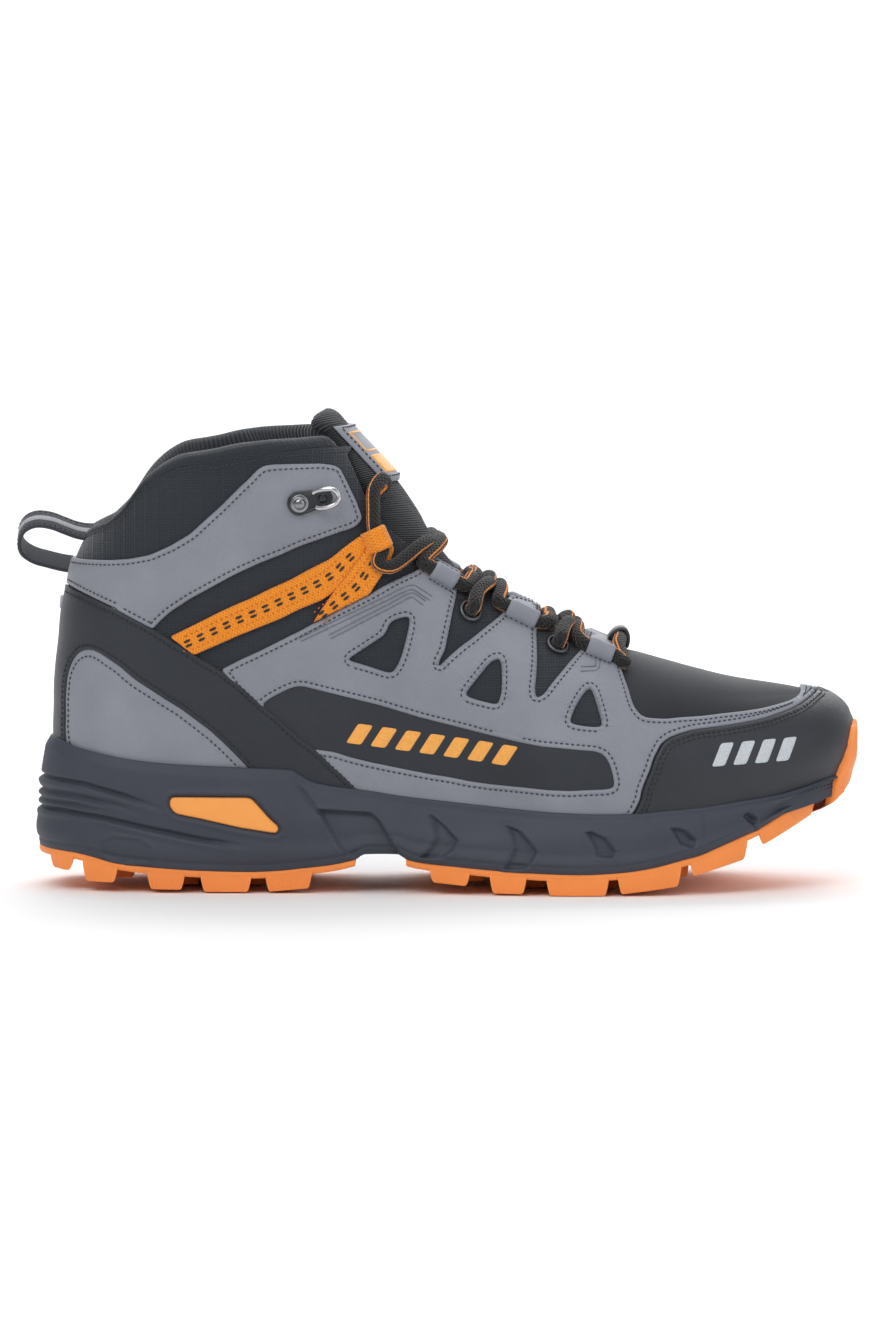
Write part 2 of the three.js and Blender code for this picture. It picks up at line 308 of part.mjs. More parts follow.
heelLugs.push(blk(-126, -112, -14, -2, 2.8), blk(-126, -112, 2, 14, 2.8), blk(-103, -88, -18, -3, 0.6), blk(-103, -88, 3, 16, 0.6), blk(-78, -62, -18, -3, 0.5), blk(-78, -62, 3, 14, 0.5));
foreLugs.push(blk(2, 17, -20, -3, 2), blk(2, 17, 3, 15, 2), blk(24, 40, -26, -4, 0.2), blk(24, 40, 4, 21, 0.2), blk(48, 66, -28, -4, 0), blk(48, 66, 4, 25, 0), blk(75, 92, -24, -4, [1.6, 4.4]), blk(75, 92, 4, 25, [1.6, 4.4]), blk(99, 114, -16, -3, [8.6, 13.4]), blk(99, 114, 3, 20, [8.6, 13.4]));
add('outsole_heel', plus(outPlate.intersect(halfSpace(-160, -30.5, -70, 70, -5, 60)), ...heelLugs), ORANGE, 0.6);
add('outsole_forefoot', plus(minus(outPlate, halfSpace(-160, -12, -70, 70, -5, 60), bumperClear, lasted(WALL_IN)), bumper, ...foreLugs), ORANGE, 0.6);

// -------------------------------------------------------------- inner parts
const ring = (v, off, dz = 0) => thetas(NTH).map((t) => surf(t, v, off).add(V(0, 0, dz)));
add('insole_board', loft([ring(0.0, -2.2, -1.1), ring(0.0, -2.2, 0.9)]).intersect(halfSpace(-160, 146.5, -60, 60, 0, 60)), 0x8a7a62, 0.9);
add('footbed', loft([ring(0.0, -6.6, 2.6), ring(0.0, -6.4, 5.2), ring(0.0, -7.4, 6.8)]).intersect(halfSpace(-160, 144.5, -60, 60, 0, 60)), 0x2d3036, 0.9);

const archFrame = (x, z, s, dir) => {
  const n = sideNormal(x, z, s), c = sidePoint(x, z, s), u = sidePoint(x + dir[0] * 3, z + dir[1] * 3, s).sub(sidePoint(x - dir[0] * 3, z - dir[1] * 3, s)).normalize();
  return { c, n, u, w: n.clone().cross(u).normalize() };
};
const LOOPS = [['rear', 0.6, 113.9, [0.86, -0.5], 4.4], ['mid', 29.6, 98.8, [0.9, -0.44], 5.4], ['front', 58.3, 85.3, [0.93, -0.37], 4.6]];
const arches = {};
for (const s of [-1, 1]) {
  arches['web' + s] = archFrame(-24.0, 127.4, s, [-0.1, 0.995]);
  for (const [k, x, z, dir] of LOOPS) arches[k + s] = archFrame(x, z, s, dir);
}
// --------------------------------------------------------------- lace route
// point above the instep ridge: l arc length on the front profile, y across
function ridge(l, y, off) {
  const f = (l2, y2) => {
    const e = 0.5, t = V(frontX(l2 + e) - frontX(l2 - e), 0, frontZ(l2 + e) - frontZ(l2 - e)).normalize(), n = V(t.z, 0, -t.x);
    const F = V(frontX(l2), 0, frontZ(l2)); let a = 0, b = 45;
    for (let i = 0; i < 26; i++) { const c = (a + b) / 2, x = F.x - n.x * c, z = F.z - n.z * c; if (halfWidth(x, z) < Math.abs(y2 - yCentre(x))) a = c; else b = c; }
    return V(F.x - n.x * a, y2, F.z - n.z * a);
  };
  const p = f(l, y), e = 0.7, n = f(l, y + e).sub(f(l, y - e)).cross(f(l + e, y).sub(f(l - e, y))).normalize();
  if (n.x + n.z < 0) n.negate();
  return p.addScaledVector(n, off);
}
function ridgeCoords(x, z, s) {
  let best = 1e9, l0 = 0;
  for (let l = 40; l < S_TOP; l += 0.5) { const d = Math.hypot(frontX(l) - x, frontZ(l) - z); if (d < best) { best = d; l0 = l; } }
  return [l0, yCentre(x) + s * halfWidth(x, z)];
}
const lacePath = [];
function half(s, centre, crossOff) { // s: side of the first tunnel; returns the points from the toe bar upwards
  const P = [], tun = (g, half2, n = 2.9) => { for (const l of [half2 + 1.6, 0, -half2 - 1.6]) P.push(g.c.clone().addScaledVector(g.u, l).addScaledVector(g.n, n)); };
  const cross = (A, B, cOff) => { // A, B: [x, z, side, off]
    const [l0, y0] = ridgeCoords(A[0], A[1], A[2]), [l1, y1] = ridgeCoords(B[0], B[1], B[2]);
    for (const t of [0, 0.12, 0.22, 0.36, 0.5, 0.64, 0.78, 0.88, 1]) {
      const w = smooth((Math.min(t, 1 - t) - 0.17) / 0.2), o = A[3] + (B[3] - A[3]) * t, q = o * (1 - w) + cOff * w;
      P.push(ridge(l0 + (l1 - l0) * t, y0 + (y1 - y0) * t, q));
    }
  };
  P.push(ridge(BAR_L, s * 3.5, 4.0), ridge(BAR_L, s * 8.5, 3.7), ridge(BAR_L, s * 14, 3.0), sidePoint(67.0, 80.6, s, 2.9));
  tun(arches['front' + s], LOOPS[2][4], 3.0);
  cross([49.6, 90.4, s, 2.9], [44.4, 92.6, -s, 3.9], crossOff[0]);
  const hole = (i) => { const [x, z] = EYELETS[i]; P.push(sidePoint(x, z, -s, 4.0), sidePoint(x, z, -s, 1.4), sidePoint(x, z, -s, -1.4), sidePoint(x, z, -s, -4.2)); };
  hole(1); P.push(sidePoint(42.9, 92.5, -s, -5.6));
  cross([41.6, 95.4, -s, -4.9], [38.4, 95.6, s, 2.9], crossOff[1]);
  tun(arches['mid' + s], LOOPS[1][4]);
  cross([20.6, 103.2, s, 2.9], [12.6, 106.6, -s, 3.9], crossOff[2]);
  hole(0); P.push(sidePoint(12.0, 106.0, -s, -5.6));
  cross([11.6, 109.8, -s, -4.9], [8.2, 109.6, s, 2.9], crossOff[3]);
  tun(arches['rear' + s], LOOPS[0][4]);
  cross([-7.2, 118.6, s, 2.9], [-18.6, 117.6, -s, 3.9], crossOff[4]);
  P.push(sidePoint(-22.9, 119.4, -s, 3.9));
  const g = arches['web' + -s];
  for (const l of [-3.6, 0, 3.8]) P.push(g.c.clone().addScaledVector(g.u, l).addScaledVector(g.n, 3.8));
  P.push(sidePoint(-25.6, 139, -s, 3.0), sidePoint(-25.6, 145.5, -s, 3.0), sidePoint(-23, 148.6, -s, 3.4), sidePoint(-20.8, 147.6, -s, 1.6), sidePoint(-23.4, 144.0, -s, -4.2), sidePoint(-27, 139, -s, -8.3), sidePoint(-31, 131, -s, -9.2));
  return P;
}
const hA = half(-1, 0, [-1.7, -6.5, -1.7, -6.5, -1.7]), hB = half(1, 0, [-6.5, -1.7, -6.5, -1.7, -6.5]);
const laceCtrl = [...hA].reverse().concat(hB);
const laceCurve = new THREE.CatmullRomCurve3(laceCtrl, false, 'centripetal');
const laceLength = laceCurve.getLength();
const lacePts = laceCurve.getSpacedPoints(LACE_STEPS);
const laceClear = sweep(lacePts, circle(LACE_R + 0.4, 6));

// ---------------------------------------------------------- upper textile
const shift = (d) => THROAT.map((p, i) => { // throat line moved by d along its normal
  const a = THROAT[Math.max(0, i - 1)], b = THROAT[Math.min(THROAT.length - 1, i + 1)], L = Math.hypot(b[0] - a[0], b[1] - a[1]);
  return [p[0] + (-(b[1] - a[1]) / L) * d, p[1] + ((b[0] - a[0]) / L) * d];
});
const throatCut = (d) => { const t = shift(d); return [...t, [t[t.length - 1][0] + 6, t[t.length - 1][1] + 30], [40, 200], [t[0][0] - 3.5, 200], [t[0][0] - 3.5, t[0][1] + 3]]; };
const shell = layer(VG, -1.2, 0);
const quarterBody = minus(shell, prism(throatCut(-3), -90, 90));
const TOE_SEAM = [[71, 10], [160, 10], [160, 120], [69.4, 120], [69.4, 82], [73, 66], [76, 50], [72, 34]];
const holes = (s, r) => EYELETS.map(([x, z]) => turned([[0, -9], [r, -9], [r, 5], [0, 5]], sidePoint(x, z, s), sideNormal(x, z, s), 12));
for (const [nm, s] of [['lateral', -1], ['medial', 1]]) {
  const back = quarterBody.intersect(halfSpace(-160, 160, ...sideRange(s), 0, 200));
  add('quarter_' + nm, minus(back, prism(TOE_SEAM, -90, 90), ...holes(s, EYELET_R + 1.3)), NAVY, 0.85);
}
const seamFront = TOE_SEAM.map(([x, z]) => [x < 100 ? x + 0.35 : x, z]);
add('vamp', shell.intersect(prism(seamFront, -90, 90)), NAVY, 0.85);

// stiffeners and lining, nested inside the textile
add('heel_counter', layer(VG.slice(0, 7), -2.7, -1.5).intersect(prism([[-160, 20], [-78, 20], [-84, 60], [-100, 82], [-160, 88]], -90, 90)), 0xbfb8a6, 0.8);
add('toe_puff', layer(VG.slice(0, 6), -2.7, -1.5).intersect(prism([[104, 10], [165, 10], [165, 100], [98, 100]], -90, 90)), 0xbfb8a6, 0.8);
const liningBody = minus(layer(VG.slice(0, 10), -4.3, -3.0), prism(throatCut(-15), -90, 90));
add('lining', liningBody, KNIT, 0.95);

// padded collar: a rounded roll from one throat edge round the heel to the other
const collarSpan = (t) => { // 0 lateral front .. 1 medial front, passing the heel
  const a = COLLAR_FRONT * Math.PI; return ((2 * Math.PI + a * (1 - 2 * t)) % (2 * Math.PI));
};
const rollPts = [];
for (let i = 0; i <= 34; i++) {
  const th = collarSpan(i / 34), tip = smooth(Math.min(i, 34 - i) / 1.2);
  const sec = [[0.969, -0.05], [0.98, 0.25], [0.992, 0.1], [1.004, -1.2], [1.01, -3.6], [1.006, -6.2], [0.99, -8.2], [0.965, -9.1], [0.93, -8.9], [0.905, -7.4], [0.91, -4.9], [0.935, -2.8], [0.963, -2.0], [0.966, -0.8]];
  rollPts.push(sec.map(([v, o]) => surf(th, 0.957 + (v - 0.957) * (0.3 + 0.7 * tip), -4.4 + (o + 4.4) * (0.35 + 0.65 * tip))));
}
add('collar_roll', loft(rollPts), KNIT, 0.95);

// ------------------------------------------------------------------ tongue
const tongueLow = layer(VG.slice(3, 10), -13, -10);
const foldLine = (d) => [[-60 + d, 112 - d], [10 + d, 168 - d]];
const lowRegion = () => { const t = shift(-9); return [...t.slice(2), [t[t.length - 1][0] + 1, t[t.length - 1][1] + 40], [10, 168], [-34, 132.8 + 0.4]].map((p) => p); };
const tongueRegionLow = prism([...shift(-9).filter((p) => p[1] < 121), [66, 130], [FOLD[0] + 60 * 0.78, FOLD[1] + 60 * 0.62], [FOLD[0] - 34 * 0.78, FOLD[1] - 34 * 0.62]].map((p) => p), -90, 90);
add('tongue_lower', tongueLow.intersect(tongueRegionLow).subtract(laceClear), NAVY, 0.9);
const upOff = (t, v) => -0.4;
const tongueUpLayer = layer([...VG.slice(7), 1.0, 1.055], -6.4, -0.4);
const up = shift(TONGUE_GAP);
const tongueRegionUp = prism([[FOLD[0] + 60 * 0.78 - 1.6 * 0.62, FOLD[1] + 60 * 0.62 + 1.6 * 0.78], [60, 200], [-46, 200], [-44.2, 173.5], [-35.2, 163.8], up[1], up[2], [FOLD[0] - 12 * 0.78 - 1.6 * 0.62, FOLD[1] - 12 * 0.62 + 1.6 * 0.78]], -90, 90);
add('tongue_upper', tongueUpLayer.intersect(tongueRegionUp), NAVY, 0.9);
const labelBody = layer([...VG.slice(8), 1.0], -0.1, 1.0).intersect(prism([[-35.4, 166.9], [-30, 172], [-8, 150], [-15.5, 144.5]], -90, 90)).intersect(halfSpace(-60, 20, -15, 15, 100, 200));
add('tongue_label', labelBody, GREY, 0.6);

// --------------------------------------------------------- outer overlays
const over = layer(VG, 0.3, 1.4);
const heelX = -165;
const clear = (outline, r) => prism(shrink(outline, -0.32), ...r);
const STRAP = [[heelX, 112.2], ...STRAP_TOP, [-27.2, 31.5], [-40, 33.5], [-68, 39], ...STRAP_LOW.slice(0, -1), [-136.4, 50], [heelX, 50.5]];
const BAND = [...ANKLE_BAND.slice(1, -3), [-116.5, 102.8], [-135.1, 110.6], [heelX, 113.0], [heelX, 119.6]];
const nearest = (list, q) => list.reduce((b, p, i) => (Math.hypot(p[0] - q[0], p[1] - q[1]) < Math.hypot(list[b][0] - q[0], list[b][1] - q[1]) ? i : b), 0);
const swapTab = (list, from, to, repl) => [...list.slice(0, nearest(list, from)), ...repl, ...list.slice(nearest(list, to) + 1)];
let CG = swapTab(CAGE, [-5.8, 118.7], [6.6, 110.5], [[-7.4, 113.2], [3.9, 106.8]]);
CG = swapTab(CG, [23.5, 101.5], [35.6, 93.5], [[21.7, 98.0], [34.2, 91.6]]);
CG = swapTab(CG, [52.9, 89.1], [65.8, 84.2], [[52.2, 82.8], [66.2, 78.4]]);
const CAGE_ALL = [...CG, [133.8, 90], [140.0, 90], ...CAGE_TOE, [69.5, 24.5], [44, 24.0], [29.5, 25.2], [-14.2, 30.0], [-26.4, 31.8], ...[...STRAP_TOP].reverse().filter((p) => p[0] > -79 && p[0] < -27).map((p) => [p[0] + 0.25, p[1] + 0.25])];
const TOECAP = [...CAGE_TOE.map((p) => [p[0] + 0.35, p[1] - 0.05]), [70.3, 24], [110, 14], [170, 14], [170, 100], [140.9, 100]];
const HEELPANEL = shrink([...STRAP_LOW.slice(1, -1), [-135, 48.6], [-127.7, 46], [-116.5, 44], [-98.2, 42], [-69, 40.6], [-70.2, 46]], 0.35);
add('heel_strap', over.intersect(prism(STRAP, -90, 90)), BLACK, 0.5);
add('toe_cap', over.intersect(prism(TOECAP, -90, 90)), BLACK, 0.5);
const archSection = (a, b, t, base) => {
  const out = [], inn = [], N = 8;
  for (let i = 0; i <= N; i++) { const q = (Math.PI * i) / N; out.push([(a + t) * Math.cos(q), base + (b + t - base) * Math.sin(q)]); inn.push([a * Math.cos(q), base + (b - base) * Math.sin(q)]); }
  return [...out, ...inn.reverse()];
};
for (const [nm, s] of [['lateral', -1], ['medial', 1]]) {
  const r = sideRange(s);
  let cage = minus(over.intersect(prism(CAGE_ALL, ...r)), prism(W1, ...r), prism(W2, ...r), prism(W3, ...r), prism(SIDE_PANEL, ...r), clear(STRAP, r), clear(TOECAP, r));
  add('cage_' + nm, cage, GREY, 0.55);
  add('side_panel_' + nm, minus(over.intersect(prism(shrink(SIDE_PANEL, 0.3), ...r)), clear(STRAP, r)), BLACK, 0.5);
  add('ankle_band_' + nm, minus(over.intersect(prism(BAND, ...r)), clear(STRAP, r)), GREY, 0.55);
  add('heel_panel_' + nm, minus(over.intersect(prism(HEELPANEL, ...r)), clear(STRAP, r)), GREY, 0.55);
  // folded webbing strap with its lace tunnel
  const wb = minus(plus(over.intersect(prism(shrink(WEB1, 0.35), ...r)), over.intersect(prism(shrink(WEB2, 0.35), ...r))), clear(STRAP, r));
  const f = arches['web' + s];
  const arch = along(f.c, f.u, f.w, f.n, archSection(2.8, 6.5, 1.1, 0.35), -3.2, 3.2);
  add('webbing_loop_' + nm, plus(wb, arch), WEB, 0.8);
  for (const [k, x, z, dir, half] of LOOPS) {
    const g = arches[k + s];
    add('lace_loop_' + k + '_' + nm, along(g.c, g.u, g.w, g.n, archSection(2.75, 5.6, 1.1, 0.5), -half, half), GREY, 0.55);
  }
  EYELETS.forEach(([x, z], i) => add('eyelet_' + (i ? 'front' : 'rear') + '_' + nm, turned([[EYELET_R, -1.7], [EYELET_R + 0.5, -1.7], [EYELET_R + 0.5, 0.8], [EYELET_R + 1.6, 0.8], [EYELET_R + 1.4, 1.6], [EYELET_R, 1.6], [EYELET_R, -1.7]], sidePoint(x, z, s), sideNormal(x, z, s), 14), 0x4a4a4e, 0.35, 0.8));
  // speed hook: pill-shaped plate, bent hook and rivet
  const h = archFrame(-46.8, 143.1, s, [0.975, 0.22]);
  const pill = []; for (let i = 0; i <= 8; i++) pill.push([4.6 + 3.3 * Math.cos(-Math.PI / 2 + (Math.PI * i) / 8), 3.3 * Math.sin(-Math.PI / 2 + (Math.PI * i) / 8)]);
  for (let i = 0; i <= 10; i++) pill.push([-4.4 + 4.4 * Math.cos(Math.PI / 2 + (Math.PI * i) / 10), 4.4 * Math.sin(Math.PI / 2 + (Math.PI * i) / 10)]);
  const pl = along(h.c, h.n, h.u, h.w, pill, 1.9, 2.9);
  const hookSec = [[-2.3, 0], [2.3, 0], [2.3, 0.9], [-2.3, 0.9]];
  const hp = [[3.2, 2.7], [3.2, 4.2], [3.5, 5.6], [4.6, 6.6], [6.2, 6.9], [8.0, 6.4]].map(([a, b]) => h.c.clone().addScaledVector(h.u, a).addScaledVector(h.n, b));
  const hook = sweep(hp, [[-2.3, -0.45], [2.3, -0.45], [2.3, 0.45], [-2.3, 0.45]], h.u.clone().multiplyScalar(-1).add(h.n.clone().multiplyScalar(0.3)).normalize());
  add('speed_hook_' + nm, plus(pl, hook), 0x9a9a9c, 0.25, 1);
  add('hook_rivet_' + nm, turned([[0, 3.2], [3.1, 3.2], [3.1, 3.5], [2.4, 4.3], [1.2, 4.7], [0, 4.8]], h.c.clone().addScaledVector(h.u, -4.4), h.n, 16), 0x77787c, 0.3, 1);
}

// -------------------------------------------------------------------- laces
add('lace', sweep(lacePts, circle(LACE_R, 6)), CORD, 0.8);
for (const [nm, a, b] of [['medial', lacePts[0], lacePts[1]], ['lateral', lacePts[LACE_STEPS], lacePts[LACE_STEPS - 1]]]) {
  const d = a.clone().sub(b).normalize();
  add('lace_tip_' + nm, sweep([a.clone().addScaledVector(d, 0.4), a.clone().addScaledVector(d, 14)], circle(1.5, 8)), 0x1b1b1d, 0.3);
}
// lace guide: arched loop at the tip of the vamp that holds the lowest lace bar
{
  const c = ridge(BAR_L, 0, 0), t = V(frontX(BAR_L - 2) - frontX(BAR_L + 2), 0, frontZ(BAR_L - 2) - frontZ(BAR_L + 2)).normalize(), n = V(-t.z, 0, t.x);
  add('lace_guide', along(c, V(0, 1, 0), t, n, archSection(3.1, 6.4, 1.2, 1.5), -5.5, 5.5), BLACK, 0.55);
}

// ---------------------------------------------------------------- heel loop
const tilt = THREE.MathUtils.degToRad(LOOP_TILT), qa = V(0, Math.sin(tilt), Math.cos(tilt)), wa = V(0, Math.cos(tilt), -Math.sin(tilt));
const loopCtrl = [[-134.0, 7.6], [-138.5, 9.6], [-143, 11.6], [-148.5, 12.2], [-152.6, 10.0], [-154.6, 5.4], [-154.0, 0.2], [-150.0, -3.4], [-144.5, -5.4], [-139.0, -7.0]].map(([x, q]) => V(x, 0, 124.2).addScaledVector(qa, q));
const loopPath = new THREE.CatmullRomCurve3(loopCtrl, false, 'centripetal').getSpacedPoints(26);
add('pull_loop', sweep(loopPath, [[-LOOP_W / 2, -0.65], [LOOP_W / 2, -0.65], [LOOP_W / 2, 0.65], [-LOOP_W / 2, 0.65]].map(([a, b]) => [b, a]), wa), 0x3a3c42, 0.85);
add('heel_tag', along(V(-139.5, 0, 104), V(0, 1, 0), V(0.1, 0, 1).normalize(), V(-1, 0, 0.1).normalize(), [[-2.4, -0.2], [2.4, -0.2], [2.4, 0.7], [-2.4, 0.7]], -2.6, 2.6), 0xb9bbc0, 0.6);

// put the origin at the middle of the overall box, on the ground
boot.position.set(...ORIGIN_SHIFT);

export default boot;
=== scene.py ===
# Hiking boot: visual pieces in the CAD frame (metres; the tables below are in millimetres).
import math
import bpy
import numpy as np
from mathutils import Vector, Matrix, kdtree
from mathutils.geometry import delaunay_2d_cdt


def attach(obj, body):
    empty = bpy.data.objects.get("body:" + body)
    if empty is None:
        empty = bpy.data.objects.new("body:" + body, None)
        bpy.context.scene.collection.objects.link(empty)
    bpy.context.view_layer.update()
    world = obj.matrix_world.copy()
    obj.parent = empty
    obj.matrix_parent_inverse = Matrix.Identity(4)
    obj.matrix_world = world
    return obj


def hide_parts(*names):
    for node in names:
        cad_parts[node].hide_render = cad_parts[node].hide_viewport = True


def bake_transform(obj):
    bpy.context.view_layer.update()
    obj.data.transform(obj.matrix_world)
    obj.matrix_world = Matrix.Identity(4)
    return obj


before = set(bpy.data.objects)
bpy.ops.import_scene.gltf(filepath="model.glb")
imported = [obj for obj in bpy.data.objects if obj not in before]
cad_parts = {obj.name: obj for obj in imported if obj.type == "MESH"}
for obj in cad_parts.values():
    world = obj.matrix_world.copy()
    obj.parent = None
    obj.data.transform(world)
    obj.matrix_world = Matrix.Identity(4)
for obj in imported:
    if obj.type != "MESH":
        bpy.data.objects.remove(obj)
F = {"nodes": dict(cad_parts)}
SHIFT = np.array([-0.42, 0.49, 0.0])
WALL_IN = 1.75
rng = np.random.RandomState(7)

def A(v): return np.asarray(v, float)
def pchip(pts, kx, ky):
    p = A(pts); xs = p[:, kx]; ys = p[:, ky]
    if xs[0] > xs[-1]: xs = xs[::-1]; ys = ys[::-1]
    h = np.diff(xs); d = np.diff(ys) / h; m = np.zeros(len(xs))
    for i in range(1, len(xs) - 1):
        if d[i - 1] * d[i] > 0:
            w1 = 2 * h[i] + h[i - 1]; w2 = h[i] + 2 * h[i - 1]
            m[i] = (w1 + w2) / (w1 / d[i - 1] + w2 / d[i])
    m[0] = d[0]; m[-1] = d[-1]
    def f(x):
        x = A(x); xc = np.clip(x, xs[0], xs[-1])
        i = np.clip(np.searchsorted(xs, xc, side='right') - 1, 0, len(xs) - 2)
        t = (xc - xs[i]) / h[i]; t2 = t * t; t3 = t2 * t
        r = (2 * t3 - 3 * t2 + 1) * ys[i] + (t3 - 2 * t2 + t) * h[i] * m[i] + (-2 * t3 + 3 * t2) * ys[i + 1] + (t3 - t2) * h[i] * m[i + 1]
        return r + np.where(x < xs[0], (x - xs[0]) * m[0], 0) + np.where(x > xs[-1], (x - xs[-1]) * m[-1], 0)
    return f
def smooth(t):
    t = np.clip(t, 0, 1); return t * t * (3 - 2 * t)
def cap(t, p=2.0):
    return np.power(np.maximum(0, 1 - np.power(1 - np.clip(t, 0, 1), p)), 1 / p)
def unit(a): return a / np.maximum(np.linalg.norm(a, axis=-1, keepdims=True), 1e-12)

BACK = [[-141.5,28],[-141.4,34],[-141.2,48.8],[-141,60],[-141,70],[-140.2,80],[-139.1,90],[-138.3,100],[-136.6,109],[-135.4,116],[-133.6,121.5],[-131.4,126.5],[-128.8,131.7],[-126.5,140],[-125.5,150],[-125,160],[-125,182]]
RIDGE = [[151.6,61.0],[150.7,63.4],[148.4,66.4],[145.5,68.6],[141.8,70.4],[138.1,71.2],[133.6,71.9],[128.1,72.9],[120.6,74.2],[113.2,75.5],[105.8,76.9],[98.4,78.6],[91.0,80.5],[83.6,82.7],[74.4,85.3],[67.7,86.8],[59.6,90.5],[50.3,94.6],[41.1,99.4],[31.8,104.2],[22.6,109.4],[15.2,114.6],[7.8,120.9],[2.2,126.4],[-2.6,132.3],[-5.5,137.1],[-8.9,141.9],[-12.9,147.1],[-17.4,152.3],[-21.8,157.1],[-26.2,161.9],[-30.3,166.3],[-32.9,169.3],[-36.5,173.4],[-39.6,176.8]]
TOE = [[147.0,24],[148.2,34],[149.5,42.3],[151.0,47],[152.2,53],[152.3,58],[151.6,61.0],[150.7,63.4],[148.4,66.4],[145.5,68.6],[141.8,70.4],[138.1,71.2]]
FEATHER = [[-141.5,33],[-110,31.5],[-60,28.5],[-20,24.5],[20,21],[60,19.8],[80,21.2],[95,24],[110,28],[125,32.3],[140,36.6],[148.9,38.5]]
TOPLINE = [[-128.8,131.7],[-126.6,133.6],[-124.6,134.9],[-120.9,136.6],[-117.9,139.0],[-115.2,141.7],[-112.9,145.0],[-110.3,149.2],[-108.4,152.0],[-106.5,154.2],[-103.8,156.6],[-100.8,158.7],[-94.3,161.6],[-87.0,162.8],[-81.5,163.8],[-76.1,165.1],[-68.8,166.4],[-61.5,167.5],[-54.2,168.3],[-47.0,168.8],[-41.5,168.9],[-32.9,169.3]]
WIDTH_FOOT = [[-150,34],[-110,34.5],[-80,34.5],[-40,34.5],[-10,37],[20,42.5],[45,47],[62,48.5],[80,48],[95,45.5],[110,42.5],[125,39],[155,35]]
WIDTH_ANKLE = [[20,33.5],[34,34.5],[60,34.5],[90,33],[120,33.5],[140,36],[155,37.2],[168,36.5],[182,34]]
